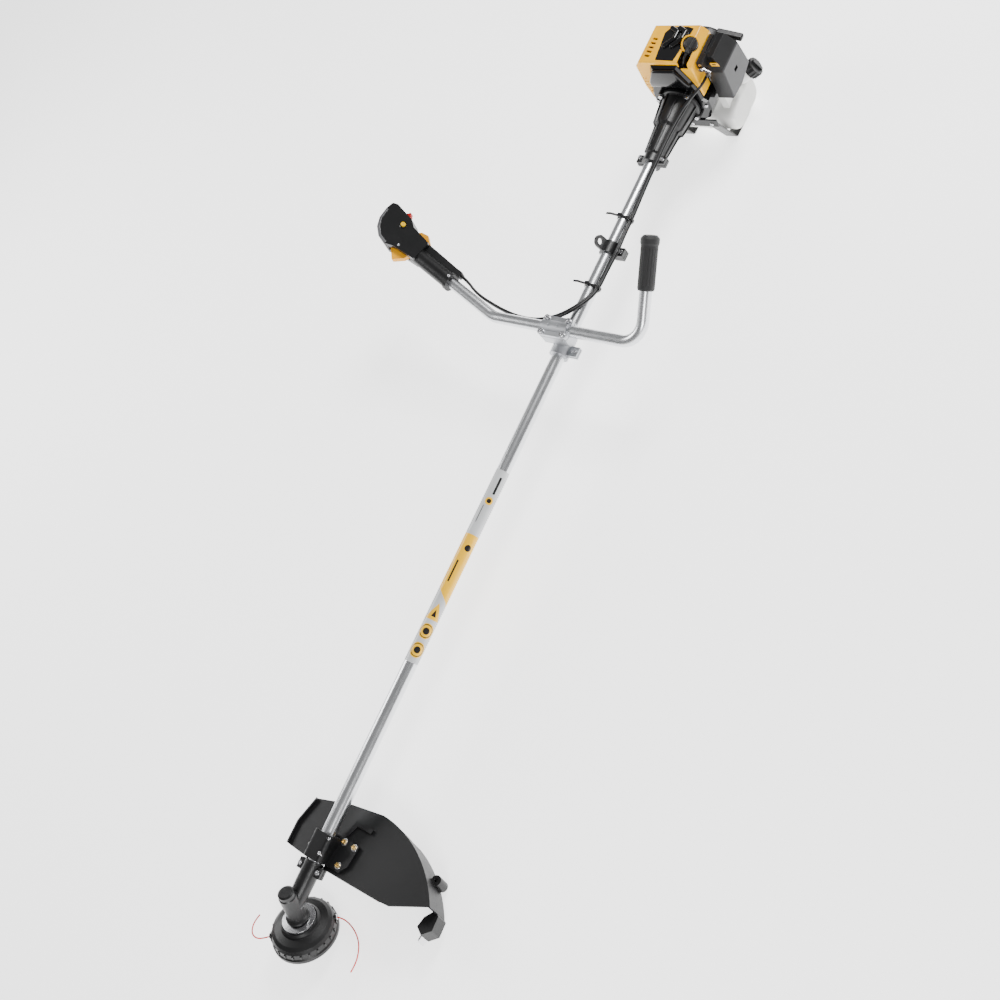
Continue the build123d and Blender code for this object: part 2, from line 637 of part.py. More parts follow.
def make_clutch_housing():
    """The tapered, ribbed housing that joins the engine to the tube."""
    outer = [(0, 0), (19.5, 0), (19.5, -16), (21, -20), (24.5, -78), (30, -83), (36, -138), (42, -140)]
    outer += [(42, CLUTCH_FACE), (0, CLUTCH_FACE)]
    housing = turned(outer, SHAFT)
    for index in range(10):
        rib = prism_y([(-16, 17), (-20, 23), (-78, 27.5), (-84, 33), (-139, 39), (-139, 32)], -1.3, 1.3)
        housing += Rot(18 + 36 * index, 0, 0) * rib
    housing += block((-16, 0), (-31, 31), (-7, 7))
    for angle in (45, 135, 225, 315):
        y = 41 * cosine(angle)
        z = 41 * sine(angle)
        housing += rod((CLUTCH_FACE, y, z), (-138, y, z), 7)
        housing -= rod((CLUTCH_FACE - 5, y, z), (-120, y, z), 2.5)
    cavity = [(0, 1), (TUBE_RADIUS + FIT, 1), (TUBE_RADIUS + FIT, TUBE_START), (9, TUBE_START)]
    cavity += [(9, -94), (13, -94), (13, -104), (31, -109), (31, CLUTCH_FACE - 1), (0, CLUTCH_FACE - 1)]
    housing -= turned(cavity, SHAFT)
    housing -= block((-17, 1), (-40, 40), (-0.8, 0.8))
    for y in (-25, 25):
        housing -= rod((-8, y, -10), (-8, y, 10), 2.5)
    return housing


def make_clutch_drum():
    """The drum that the clutch shoes grip, with its boss on the drive shaft."""
    outline = [(SHAFT_RADIUS, -90), (7, -90), (7, -108), (29.5, -111), (29.5, -136), (27.5, -136), (27.5, -113)]
    outline += [(SHAFT_RADIUS, -112)]
    return turned(outline, SHAFT)


def make_clutch_shoes():
    """A hub and two centrifugal shoes that swing out against the drum."""
    hub = block((-134, -118), (-8, 8), (-13, 13)) - rod((-140, 0, 0), (-110, 0, 0), 6)
    solids = [hub]
    for side in (1, -1):
        shoe = ring(26.4, 13.5, -134, -118, SHAFT) & block((-140, -110), (-30, 30), (1.2, 30))
        shoe -= block((-140, -110), (-8.4, 8.4), (0, 13.4))
        solids.append(Rot(0 if side > 0 else 180, 0, 0) * shoe)
    return solids


FAN_OUTLINE = [(-30, 98), (27, 98), (41, 64), (52, 30), (53, 11), (61, 4), (61, -20), (48, -44), (22, -60)]
FAN_OUTLINE += [(-22, -60), (-47, -44), (-58, -14), (-57, 20), (-42, 66)]
FAN_INSIDE = [(-27.5, 95), (25, 95), (38, 63), (49, 29), (50, 9.5), (58, 2.5), (58, -19), (46, -41.5)]
FAN_INSIDE += [(21, -57), (-21, -57), (-45, -41.5), (-55, -13), (-54, 20), (-39, 65)]


def make_fan_cover():
    """The glossy front shroud that ducts the fan's air up over the cylinder."""
    cover = prism(FAN_OUTLINE, SHAFT, FAN_REAR, FAN_FRONT)
    front = cover.faces().sort_by(Axis.X)[-1]
    cover = chamfer(front.edges(), 4)
    cover -= prism(FAN_INSIDE, SHAFT, FAN_REAR - 1, FAN_FRONT - 4)
    cover -= rod((-160, 0, 0), (-140, 0, 0), 32)
    for angle in (45, 135, 225, 315):
        y = 41 * cosine(angle)
        z = 41 * sine(angle)
        cover += rod((FAN_FRONT - 3, y, z), (CLUTCH_FACE, y, z), 7)
        cover -= rod((-160, y, z), (-140, y, z), 2.5)
    cover -= rod((-163, 40, 103), (-163, 24, 73), 4)
    return cover - PLUG * Cylinder(14.5, 120)


def make_flywheel():
    """The cast flywheel with its fan vanes."""
    wheel = ring(44, 6, -186, -178, SHAFT)
    wheel += ring(14, 6, -178, -160, SHAFT)
    for index in range(12):
        vane = block((-178.5, -158), (-1.2, 1.2), (20, 43.5))
        wheel += Rot(30 * index, 0, 0) * vane
    return wheel


def make_crankshaft():
    """Crankshaft with two counterweighted webs and the crank pin at top dead centre."""
    shaft = rod((-256, 0, 0), (-228, 0, 0), 6) + rod((-196 - 6, 0, 0), (-118, 0, 0), 6)
    for low, high in ((-228, -220), (-208, -200)):
        web = rod((low, 0, 0), (high, 0, 0), 22) - block((low - 1, high + 1), (9, 30), (2, 30))
        web -= block((low - 1, high + 1), (-30, -9), (2, 30))
        shaft += web
    return shaft + rod((-221, 0, CRANK_THROW), (-207, 0, CRANK_THROW), 5)


def make_crankcase():
    """The split crankcase, with bearing seats, the cylinder deck and mounting lugs."""
    case = rod((FAN_REAR - 0.1, 0, 0), (CRANK_REAR + 2, 0, 0), 35)
    case += block((-250, -194), (-32, 32), (0, 35))
    case += block((-240, -194), (-34, 34), (-46, -20))
    case -= rod((-198, 0, 0), (-242, 0, 0), 24.5)
    case -= rod((FAN_REAR, 0, 0), (-198, 0, 0), 15)
    case -= rod((-242, 0, 0), (-251, 0, 0), 15)
    case -= rod((-245, 0, 0), (-265, 0, 0), 7)
    case -= rod((FAN_REAR + 1, 0, 0), (-192, 0, 0), 15)
    case -= rod((CYLINDER_X - 2, 0, 0), (CYLINDER_X - 2, 0, 40), 19)
    for y in (-27, 27):
        case -= rod((-205, y, -50), (-205, y, -30), 3)
    return case


def make_cylinder():
    """The finned cylinder with its exhaust, intake and plug bosses."""
    axis = Plane(origin=(CYLINDER_X - 2, 0, 0))
    barrel = axis * Pos(0, 0, 35) * Cylinder(22, 50, align=LOW)
    for z in range(40, 90, 6):
        fin = axis * Pos(0, 0, z) * Box(44, 62, 2.2, align=LOW)
        barrel += fillet(fin.edges().filter_by(Axis.Z), 9)
    barrel += PLUG * Pos(0, 0, -14) * Cylinder(10, 14, align=LOW)
    barrel += rod((CYLINDER_X - 2, 0, 50), (CYLINDER_X - 2, 34, 50), 13)
    barrel += rod((CYLINDER_X - 2, 0, 52), (CYLINDER_X - 2, -34, 52), 13)
    barrel -= axis * Pos(0, 0, 34) * Cylinder(18, 42, align=LOW)
    barrel -= rod((CYLINDER_X - 2, 10, 50), (CYLINDER_X - 2, 36, 50), 6)
    barrel -= rod((CYLINDER_X - 2, -10, 52), (CYLINDER_X - 2, -36, 52), 6)
    barrel -= PLUG * Pos(0, 0, -12) * Cylinder(5, 14, align=LOW)
    barrel -= PLUG * Cylinder(13.5, 40, align=LOW)
    return barrel


def make_piston_and_rod():
    """Piston with its ring groove and wrist pin, and the connecting rod."""
    x = CYLINDER_X - 2
    piston = rod((x, 0, 52), (x, 0, 74), 17.9) - rod((x, 0, 51), (x, 0, 69), 15)
    piston -= ring(18.5, 17, 70, 71.5, Plane(origin=(x, 0, 0)))
    piston -= rod((x - 20, 0, 62), (x + 20, 0, 62), 4)
    pin = rod((x - 17, 0, 62), (x + 17, 0, 62), 4)
    link = rod((x - 4, 0, 62), (x + 4, 0, 62), 6.5) + block((x - 3, x + 3), (-4, 4), (27, 60))
    link -= rod((x - 20, 0, 62), (x + 20, 0, 62), 4)
    return [piston, pin, link]


def make_muffler():
    body = block((-234, -194), (-56, -35), (18, 84))
    body = fillet(body.edges(), 5)
    outlet = rod((-226, -50, 20), (-226, -50, 8), 6)
    return body + outlet - rod((-226, -50, 30), (-226, -50, 0), 4.5)


COVER_OUTLINE = [(-62, 6), (-67, 40), (-66, 94), (-55, 107), (45, 107), (57, 92), (57, 14)]
COVER_INSIDE = [(-59, -40), (-59.4, 4), (-64.4, 40), (-63.5, 93), (-54, 104.5), (44, 104.5)]
COVER_INSIDE += [(54.5, 91), (54.5, 0)]
INSERT_OUTLINE = [(-158, -19), (-156, 21), (-178, 25), (-232, 33), (-236, 20), (-236, -17), (-222, -26)]


def make_engine_cover():
    """The yellow top cover: a shell open below, with slots, grille holes and a plug hole."""
    cover = prism(COVER_OUTLINE, SHAFT, COVER_REAR, COVER_FRONT)
    cover = fillet(cover.edges().filter_by(Axis.X).sort_by(Axis.Z)[1:], 5)
    cover = fillet(cover.faces().sort_by(Axis.X)[-1].edges().sort_by(Axis.Z)[3:], 3)
    cover -= prism(COVER_INSIDE, SHAFT, COVER_REAR + 2.5, COVER_FRONT - 2.5)
    fan_gap = offset(SHAFT.offset(COVER_FRONT - 10) * Polygon(*FAN_OUTLINE, align=None), 1)
    cover -= extrude(fan_gap, amount=14, dir=(1, 0, 0))
    cover -= block((-242, -182), (50, 60), (0, 68))
    cover -= block((-241, -237), (-50, 50), (0, 90))
    cover -= block((-190, -150), (30, 50), (88, 112))
    cover += PLUG * Pos(0, 0, 22) * Cylinder(18, 12, align=LOW) & block((-230, -160), (0, 56), (104.5, 125))
    cover -= PLUG * Cylinder(15, 60, align=LOW)
    insert = Plane.XY.offset(100) * Polygon(*INSERT_OUTLINE, align=None)
    cover -= extrude(insert, amount=20, dir=(0, 0, 1))
    for index in range(5):
        x = -208 + 10 * index
        slot = Plane.XY.offset(100) * Pos(x, -41) * Rot(0, 0, 80) * SlotOverall(13, 4.6)
        cover -= extrude(slot, amount=12, dir=(0, 0, 1))
    for row in range(7):
        for column in range(2 + row // 3):
            y = -61.5 + 0.9 * row + 5 * column
            z = 62 - 9 * row
            cover -= rod((-160, y, z), (-150, y, z), 1.5)
    for row in range(5):
        for column in range(7):
            x = -228 + 11 * column
            z = 84 - 11 * row
            cover -= rod((x, -70, z), (x, -61, z), 2)
    return cover


def make_cover_insert():
    """The black panel let into the cover's top, with its two curved horns."""
    lip = Plane.XY.offset(101.5) * offset(Polygon(*INSERT_OUTLINE, align=None), 3)
    lip = extrude(lip, amount=2.9) & block((-237, -156), (-40, 40), (90, 110))
    top = Plane.XY.offset(104.4) * offset(Polygon(*INSERT_OUTLINE, align=None), -0.3)
    panel = extrude(top, amount=3)
    insert = lip + panel
    horn_path = [Vector(-232, 4, 108), Vector(-222, 21, 109), Vector(-206, 20, 109), Vector(-190, 4, 108)]
    keep = extrude(top, amount=16)
    for shift in (0, -17):
        points = [point + Vector(0, shift, 0) for point in horn_path]
        horn = Pos(*points[0]) * Sphere(5)
        for start, end in zip(points, points[1:]):
            horn += rod(start, end, 5) + Pos(*end) * Sphere(5)
        insert += horn & keep
    return insert - PLUG * Cylinder(18.5, 60, align=LOW)


def make_spark_plug():
    outline = [(0, -6), (4.95, -6), (4.95, 0.1), (9, 0.1), (9, 8), (6, 9), (5, 26), (3, 27), (3, 33), (0, 33)]
    return turned(outline, PLUG)


def make_plug_boot():
    """The rubber boot over the plug, with its pull ridge and side lead outlet."""
    boot = turned([(0, 12), (11, 12), (12.5, 20), (12.5, 38), (10, 44), (0, 45)], PLUG)
    boot += PLUG * Pos(0, 0, 45) * Box(20, 4, 8)
    boot += PLUG * rod((0, 0, 39), (19, 0, 39), 5)
    return boot - turned([(0, 11), (6.2, 11), (6.2, 26.5), (3.2, 27.5), (3.2, 33.2), (0, 33.2)], PLUG)


def make_ignition_coil():
    core = block((-184, -156), (-20, 26), (48, 58)) - block((-178, -162), (-10, 12), (50, 56))
    return core + block((-172, -156), (12, 31), (56, 70))


LEAD_ROUTE = [at(PLUG, 19, 0, 39), at(PLUG, 26, 0, 39), (-163, 37, 97), (-163, 29, 82)]
LEAD_ROUTE += [(-163, 26, 76), (-163, 26, 70)]


def make_carburettor():
    """The carburettor body with its heat block, metering cover and cable bracket."""
    body = block((-232, -196), (40, 60), (30, 62))
    body += rod((-214, 50, 30), (-214, 50, 22), 12)
    body -= rod((CYLINDER_X - 2, 30, 50), (CYLINDER_X - 2, 70, 50), 8)
    body += block((-198, -184), (56, 59), (40, 56)) + block((-187, -184), (56, 70), (40, 56))
    body -= rod((-200, 64, 48), (-170, 64, 48), 3)
    body -= rod((-220, 50, 58), (-220, 50, 66), 2)
    heat_block = block((-230, -198), (34.2, 40), (36, 62)) - rod((-214, 30, 50), (-214, 44, 50), 6)
    adjuster = rod((-170, 64, 48), (-190, 64, 48), 2.95) + rod((-180, 64, 48), (-184, 64, 48), 5)
    adjuster += rod((-187.1, 64, 48), (-190, 64, 48), 5)
    return [body, heat_block, adjuster - rod((-160, 64, 48), (-200, 64, 48), 1.2)]


def make_throttle_arm():
    """The lever on the throttle spindle, pulled round by the cable."""
    spindle = rod((-220, 50, 58.2), (-220, 50, 66), 2 - RUNNING)
    arm = prism([(-223, 46), (-217, 46), (-205, 60), (-209, 63), (-223, 53)], Plane.XY, 63, 65)
    return spindle + arm


FILTER_SIDE = [(-176, -16), (-178, 52), (-186, 84), (-242, 84), (-250, 50), (-258, -8), (-214, -20)]
FILTER_INSIDE = [(-179, -13), (-181, 51), (-188.5, 81), (-240, 81), (-247, 50), (-255, -6), (-214, -17)]


def make_filter_base():
    """The air cleaner's back plate with the choke box above the carburettor."""
    plate = prism_y(FILTER_SIDE, 66, 71.8)
    box = block((-236, -166), (58, 66), (66, 88))
    box = chamfer(box.edges().filter_by(Axis.Z).sort_by(Axis.X)[-2:], 3)
    sleeve = rod((CYLINDER_X - 2, 60, 50), (CYLINDER_X - 2, 68, 50), 13)
    base = plate + box + block((-190, -166), (60, 71.8), (68, 88)) + sleeve
    base -= rod((CYLINDER_X - 2, 55, 50), (CYLINDER_X - 2, 75, 50), 8)
    base -= block((-193, -170), (55, 70.5), (38, 58))
    return base - rod((-175, 66, 76), (-160, 66, 76), 2)


def make_filter_element():
    return fillet(block((-242, -190), (74, 88), (4, 62)).edges().filter_by(Axis.Y), 8)


def make_filter_cover():
    """The air cleaner's cover: a deep shell with a sloping top and a latch recess."""
    shell = prism_y(FILTER_SIDE, 72, 100)
    shell -= prism([(80, 90), (104, 90), (104, 46)], SHAFT, -270, -160)
    outer_face = shell.faces().sort_by(Axis.Y)[-1]
    shell = chamfer(outer_face.edges().sort_by(Axis.Z)[:-1], 2)
    inside = prism_y(FILTER_INSIDE, 71, 97)
    inside -= prism([(76, 86), (104, 86), (104, 40), (77.5, 86)], SHAFT, -270, -160)
    shell -= inside
    pocket = block((-222, -206), (90, 98.5), (16, 28))
    return shell + pocket - block((-220, -208), (92, 101), (18, 26))


def make_choke_lever():
    """The bright choke lever on the front of the choke box."""
    lever = prism([(61, 78), (62, 73), (70, 72), (84, 66), (85, 69), (70, 79)], SHAFT, -165.8, -163.5)
    return lever + rod((-174, 66, 76), (-162, 66, 76), 2 - RUNNING) + rod((-163.5, 66, 76), (-161, 66, 76), 4)


# Fuel tank, stand and starter


def make_fuel_tank():
    """The hollow tank under the engine with a raised left shoulder and filler neck."""
    solid = block((-282, -178), (-62, 74), (-128, -64))
    solid = fillet(solid.edges().filter_by(Axis.Y), 25)
    solid = fillet(solid.faces().sort_by(Axis.Y)[-1].edges(), 9)
    shoulder = block((-276, -193), (50, 64.5), (-90, -14))
    shoulder = fillet(shoulder.edges().filter_by(Axis.Y), 14)
    neck = FILLER * Pos(0, 0, -18) * Cylinder(14, 36, align=LOW)
    hollow = block((-279.5, -180.5), (-59.5, 71.5), (-125.5, -66.5))
    hollow = fillet(hollow.edges().filter_by(Axis.Y), 22.5)
    hollow = fillet(hollow.faces().sort_by(Axis.Y)[-1].edges(), 6.5)
    upper = block((-273.5, -195.5), (52.5, 62), (-89, -16.5))
    hollow += fillet(upper.edges().filter_by(Axis.Y), 11.5)
    hollow += FILLER * Pos(0, 0, -14) * Cylinder(11, 40, align=LOW)
    return solid + shoulder + neck - hollow


def make_cap_seal():
    return ring(13.8, 11.2, 18.1, 20.1, FILLER)


def make_fuel_cap():
    """The ribbed fuel cap with its finger bar."""
    cap = ring(17.5, 14.3, 8, 20.2, FILLER) + FILLER * Pos(0, 0, 20.2) * Cylinder(17.5, 5, align=LOW)
    for index in range(14):
        cap += FILLER * Rot(0, 0, index * 360 / 14) * Pos(17.5, 0, 16.5) * Cylinder(1.8, 16)
    return cap + FILLER * Pos(0, 0, 26.5) * Box(26, 6, 6)


def make_stand():
    """The bent steel stand: a front plate on the crankcase and two strap feet."""
    foot_front = ground_z(-183)
    foot_rear = ground_z(-240)
    strap = [(-145, -50), (-148, -50), (-148, -56), (-180.5, foot_front + 5), (-184, foot_front + 2.5)]
    strap += [(-240, foot_rear + 2.5), (-248, foot_rear + 8), (-249, foot_rear + 6), (-240, foot_rear)]
    strap += [(-183, foot_front), (-178, foot_front + 5), (-145, -57)]
    plate = block((FAN_FRONT, CLUTCH_FACE), (-62, 62), (-64, -46))
    return prism_y(strap, 38, 62) + prism_y(strap, -62, -38) + plate


def make_starter_housing():
    """The recoil starter's housing: a vented drum with the rope guide on its side."""
    drum = rod((STARTER_REAR, 0, 0), (CRANK_REAR, 0, 0), STARTER_RADIUS)
    drum = fillet(drum.faces().sort_by(Axis.X)[0].edges(), 8)
    drum -= rod((STARTER_REAR + 3, 0, 0), (CRANK_REAR + 1, 0, 0), STARTER_RADIUS - 3)
    guide_top = STARTER_GRIP_CENTRE - PULL_UP * 15.5
    guide_low = STARTER_GRIP_CENTRE - PULL_UP * 44
    core = rod((STARTER_REAR, 0, 0), (CRANK_REAR, 0, 0), STARTER_RADIUS - 2)
    drum += rod(guide_low, guide_top, 6) + block((-290, -278), (30, 59), (-12, -2)) - core
    drum -= rod(guide_low + PULL_UP * 2, guide_top + PULL_UP, 2.2)
    drum += rod((STARTER_REAR + 2, 0, 0), (-266, 0, 0), 5.95)
    for index in range(8):
        slot = block((STARTER_REAR - 1, STARTER_REAR + 4), (-3, 3), (18, 38))
        drum -= Rot(45 * index + 22.5, 0, 0) * slot
    return drum


def make_starter_pulley():
    outline = [(6, -282), (PULLEY_RADIUS + 3, -282), (PULLEY_RADIUS, -280), (PULLEY_RADIUS, -275)]
    outline += [(PULLEY_RADIUS + 3, -273), (6, -273)]
    return turned(outline, SHAFT)


def make_starter_grip():
    """The T-handle of the recoil starter, its bar leaning outwards over the stem."""
    frame = Plane(origin=STARTER_GRIP_CENTRE, x_dir=(1, 0, 0), z_dir=(0, 0.29, 0.957))
    bar = frame * Box(14, 54, 11)
    bar = fillet(bar.edges(), 3.5)
    return bar + rod(STARTER_GRIP_CENTRE - PULL_UP * 14.5, STARTER_GRIP_CENTRE, 6)


def make_starter_rope():
    """The taut rope between the guide's mouth and the T-handle."""
    return rod(STARTER_GRIP_CENTRE - PULL_UP * 40, STARTER_GRIP_CENTRE - PULL_UP * 14.5, 1.5)


# Throttle cable and switch lead, side by side from the grip to the engine

CABLE_ROUTE = [
    (362, -203, 56),
    (373, -159, 40),
    (380, -118, 31),
    (381, -80, 26.5),
    (374, -48, 24),
    (359, -20, 22.5),
    (337, 3, 21.5),
    (309, 15, 13),
    (281, 16.6, CABLE_OFFSET),
    (240, 17.6, 4.6),
    (197, 21.5, 6.6),
    (160, 17.4, 4.4),
    (128, 16.6, CABLE_OFFSET),
    (84, 16.8, 7),
    (40, 18, 12.5),
    (4, 22.5, 18.6),
    (-40, 26, 25),
    (-82, 33, 31),
    (-112, 43, 38),
]


def shifted(route, rise):
    """The shared route moved up or down, its first two points shifted across the grip."""
    start = [at(GRIP, x, -22, rise) for x in (116, 98)]
    return start + [(x, y, z + rise) for x, y, z in route]


THROTTLE_ROUTE = shifted(CABLE_ROUTE, CABLE_OFFSET) + [(-140, 60, 48.5), (-156, 64, 48), (-170, 64, 48)]
SWITCH_ROUTE = shifted(CABLE_ROUTE, -CABLE_OFFSET) + [(-136, 43, 34), (FAN_FRONT, 43, 34)]


PARTS = {
    "tube": make_tube(),
    "bearings": make_bearings(),
    "drive_shaft": make_drive_shaft(),
    "pinion": make_pinion(),
    "arbor": make_arbor(),
    "gear_case": make_gear_case(),
    "spool_housing": make_spool_housing(),
    "line_spool": make_line_spool(),
    "bump_knob": make_bump_knob(),
    "line_left": cord_tube("line_left", LINE_LEFT, LINE_RADIUS),
    "line_right": cord_tube("line_right", LINE_RIGHT, LINE_RADIUS),
    "guard": make_guard(),
    "guard_skirt": make_guard_skirt(),
    "line_cutter": make_line_cutter(),
    "guard_bracket": make_guard_bracket(),
    "guard_screws": make_guard_screws(),
    "handlebar": make_handlebar(),
    "bar_clamp_base": make_bar_clamp_base(),
    "bar_clamp_cap": make_bar_clamp_cap(),
    "left_grip": make_left_grip(),
    "throttle_grip": make_throttle_grip(),
    "trigger": make_trigger(),
    "lockout_lever": make_lockout_lever(),
    "stop_switch": make_stop_switch(),
    "lock_button": make_lock_button(),
    "harness_clamp": make_harness_clamp(),
    "cable_ties": make_cable_ties(),
    "steel_screws": make_steel_screws(),
    "clutch_housing": make_clutch_housing(),
    "clutch_drum": make_clutch_drum(),
    "clutch_shoes": make_clutch_shoes(),
    "fan_cover": make_fan_cover(),
    "flywheel": make_flywheel(),
    "crankshaft": make_crankshaft(),
    "crankcase": make_crankcase(),
    "cylinder": make_cylinder(),
    "piston_and_rod": make_piston_and_rod(),
    "muffler": make_muffler(),
    "engine_cover": make_engine_cover(),
    "cover_insert": make_cover_insert(),
    "spark_plug": make_spark_plug(),
    "plug_boot": make_plug_boot(),
    "ignition_coil": make_ignition_coil(),
    "ignition_lead": cord_tube("ignition_lead", LEAD_ROUTE, 2.5),
    "carburettor": make_carburettor(),
    "throttle_arm": make_throttle_arm(),
    "filter_base": make_filter_base(),
    "filter_element": make_filter_element(),
    "filter_cover": make_filter_cover(),
    "choke_lever": make_choke_lever(),
    "fuel_tank": make_fuel_tank(),
    "cap_seal": make_cap_seal(),
    "fuel_cap": make_fuel_cap(),
    "stand": make_stand(),
    "starter_housing": make_starter_housing(),
    "starter_pulley": make_starter_pulley(),
    "starter_grip": make_starter_grip(),
    "starter_rope": make_starter_rope(),
    "throttle_cable": cord_tube("throttle_cable", THROTTLE_ROUTE, THROTTLE_CABLE_RADIUS),
    "switch_lead": cord_tube("switch_lead", SWITCH_ROUTE, SWITCH_LEAD_RADIUS),
}

# Laying the machine on level ground: it rests on the stand's feet and the spool's rear rim, and
# the origin is under the middle of its bounding box, on the ground.

CUTTING_LINES = ("line_left", "line_right")


def as_shape(solids):
    """One shape for a node that is a group of separate solids."""
    return Compound(children=solids) if isinstance(solids, list) else solids


tilt = Rot(0, GROUND_TILT, 0)
body = Compound(children=[tilt * as_shape(shape) for name, shape in PARTS.items() if name not in CUTTING_LINES])
box = body.bounding_box()
GROUND = Pos(-box.center().X, -box.center().Y, -box.min.Z) * tilt

if __name__ == "__main__":
    print("ground tilt", round(GROUND_TILT, 4), "origin", -box.center().X, -box.center().Y, -box.min.Z)
    print("size", box.size)
    for name, shape in PARTS.items():
        export_step(GROUND * as_shape(shape), f"parts/{name}.step")
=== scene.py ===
"""Petrol string trimmer: finishes, moulded details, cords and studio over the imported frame."""

from __future__ import annotations

import json
import logging
import math
from abc import ABC, abstractmethod
from dataclasses import dataclass, field
from enum import Enum
from typing import Sequence

import bmesh
import bpy
from mathutils import Matrix, Vector

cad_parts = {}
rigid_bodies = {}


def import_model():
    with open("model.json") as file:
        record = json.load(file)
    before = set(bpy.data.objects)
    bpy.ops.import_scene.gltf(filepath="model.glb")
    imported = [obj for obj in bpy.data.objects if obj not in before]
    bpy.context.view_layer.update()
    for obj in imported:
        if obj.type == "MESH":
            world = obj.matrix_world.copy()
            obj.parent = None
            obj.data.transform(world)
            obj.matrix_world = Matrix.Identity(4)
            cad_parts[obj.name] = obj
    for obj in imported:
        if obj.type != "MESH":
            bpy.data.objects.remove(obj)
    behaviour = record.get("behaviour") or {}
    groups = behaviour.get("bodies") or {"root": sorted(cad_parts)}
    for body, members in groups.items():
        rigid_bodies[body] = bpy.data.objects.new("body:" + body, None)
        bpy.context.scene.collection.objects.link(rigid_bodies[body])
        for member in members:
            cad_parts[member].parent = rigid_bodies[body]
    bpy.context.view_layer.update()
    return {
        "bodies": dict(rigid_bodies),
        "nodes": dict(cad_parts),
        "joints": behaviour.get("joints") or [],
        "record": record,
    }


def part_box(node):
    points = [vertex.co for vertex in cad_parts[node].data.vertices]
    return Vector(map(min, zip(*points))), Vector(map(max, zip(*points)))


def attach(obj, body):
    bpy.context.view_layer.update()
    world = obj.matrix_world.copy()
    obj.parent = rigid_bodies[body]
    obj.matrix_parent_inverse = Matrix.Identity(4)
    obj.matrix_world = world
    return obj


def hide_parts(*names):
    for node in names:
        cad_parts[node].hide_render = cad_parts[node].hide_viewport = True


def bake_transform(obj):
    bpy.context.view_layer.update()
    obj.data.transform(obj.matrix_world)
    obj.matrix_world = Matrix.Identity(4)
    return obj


LOG = logging.getLogger("trimmer")
Point = Sequence[float]
Colour = tuple[float, float, float]


# Frames


@dataclass(frozen=True)
class LocalFrame:
    """A right-handed frame given by its origin, X and Z directions.

    Attributes:
        origin: the frame's origin, in millimetres of its parent frame.
        x: direction of the local X axis.
        z: direction of the local Z axis.
    """

    origin: Point
    x: Point
    z: Point

    def matrix(self) -> Matrix:
        """The matrix that takes local points to the parent frame."""
        z = Vector(self.z).normalized()
        x = Vector(self.x)
        x = (x - z * x.dot(z)).normalized()
        y = z.cross(x)
        turn = Matrix((x, y, z)).transposed().to_4x4()
        return Matrix.Translation(Vector(self.origin)) @ turn


class Lean(Enum):
    """Angles of the machine's bent members, in degrees."""

    HEAD = 60.0
    LEG = 52.5
    SPLAY = 24.85
    GUARD = 15.0


def sine(degrees: float) -> float:
    """The sine of an angle in degrees."""
    return math.sin(math.radians(degrees))


def cosine(degrees: float) -> float:
    """The cosine of an angle in degrees."""
    return math.cos(math.radians(degrees))


GROUND_TILT = 1.5425
DRIVE_SHAFT_ENDS = (-112.0, 1490.6)
LINE_ANGLES = (139.0, 319.0)
LINE_EXIT_REACH = 58.6
LINE_LEVEL = -58.0

LEG_DIRECTION = Vector((-sine(Lean.LEG.value), 0.0, cosine(Lean.LEG.value)))
GRIP_DIRECTION = Vector((0.0, -cosine(Lean.SPLAY.value), 0.0)) + LEG_DIRECTION * sine(Lean.SPLAY.value)
SHAFT = LocalFrame((0, 0, 0), (0, 1, 0), (1, 0, 0))
TOP = LocalFrame((0, 0, 0), (1, 0, 0), (0, 0, 1))
HEAD = LocalFrame(
    (1505.1, 0, 0),
    (sine(Lean.HEAD.value), 0, cosine(Lean.HEAD.value)),
    (-cosine(Lean.HEAD.value), 0, sine(Lean.HEAD.value)),
)
GRIP = LocalFrame(
    (395.9, -150.9, 40.7),
    tuple(GRIP_DIRECTION),
    tuple(GRIP_DIRECTION.cross(Vector((1, 0, 0)))),
)
GUARD = LocalFrame(
    (1385.6, 0, -20),
    (cosine(Lean.GUARD.value), 0, sine(Lean.GUARD.value)),
    (-sine(Lean.GUARD.value), 0, cosine(Lean.GUARD.value)),
)
BESIDE = LocalFrame((0, 0, 0), (1, 0, 0), (0, -1, 0))
OUTWARD = LocalFrame((0, 0, 0), (1, 0, 0), (0, 1, 0))
UP_TURN = Vector((-sine(GROUND_TILT), 0.0, cosine(GROUND_TILT)))
PLUG = LocalFrame((-205, 16, 82), (0.97, -0.177, -0.162), (0.24, 0.715, 0.656))


@dataclass(frozen=True)
class ShaftFrame:
    """Places points drawn along the machine's tube into the frame it stands in.

    Attributes:
        tilt: how far the tube leans down towards the head, in degrees.
        origin: where the tube's zero point stands, in metres.
    """

    tilt: float
    origin: Vector

    @classmethod
    def from_drive_shaft(cls, tilt: float, first: float, last: float) -> ShaftFrame:
        """Finds the origin from the drive shaft's box.

        Args:
            tilt: the tube's lean in degrees.
            first: the shaft's first end along the tube, in millimetres.
            last: the shaft's last end along the tube, in millimetres.

        Returns:
            The placed frame.
        """
        low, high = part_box("drive_shaft")
        turn = Matrix.Rotation(math.radians(tilt), 3, "Y")
        middle = turn @ Vector(((first + last) / 2000.0, 0.0, 0.0))
        return cls(tilt, (low + high) / 2 - middle)

    def matrix(self) -> Matrix:
        """The matrix from millimetres along the tube to metres on the ground."""
        turn = Matrix.Rotation(math.radians(self.tilt), 4, "Y")
        return Matrix.Translation(self.origin) @ turn @ Matrix.Scale(0.001, 4)

    def point(self, place: Point) -> Vector:
        """One point along the tube, in metres on the ground."""
        return self.matrix() @ Vector(place)

    def local(self, frame: LocalFrame) -> Matrix:
        """The matrix from a local frame's millimetres to metres on the ground."""
        return self.matrix() @ frame.matrix()


# Shader maths


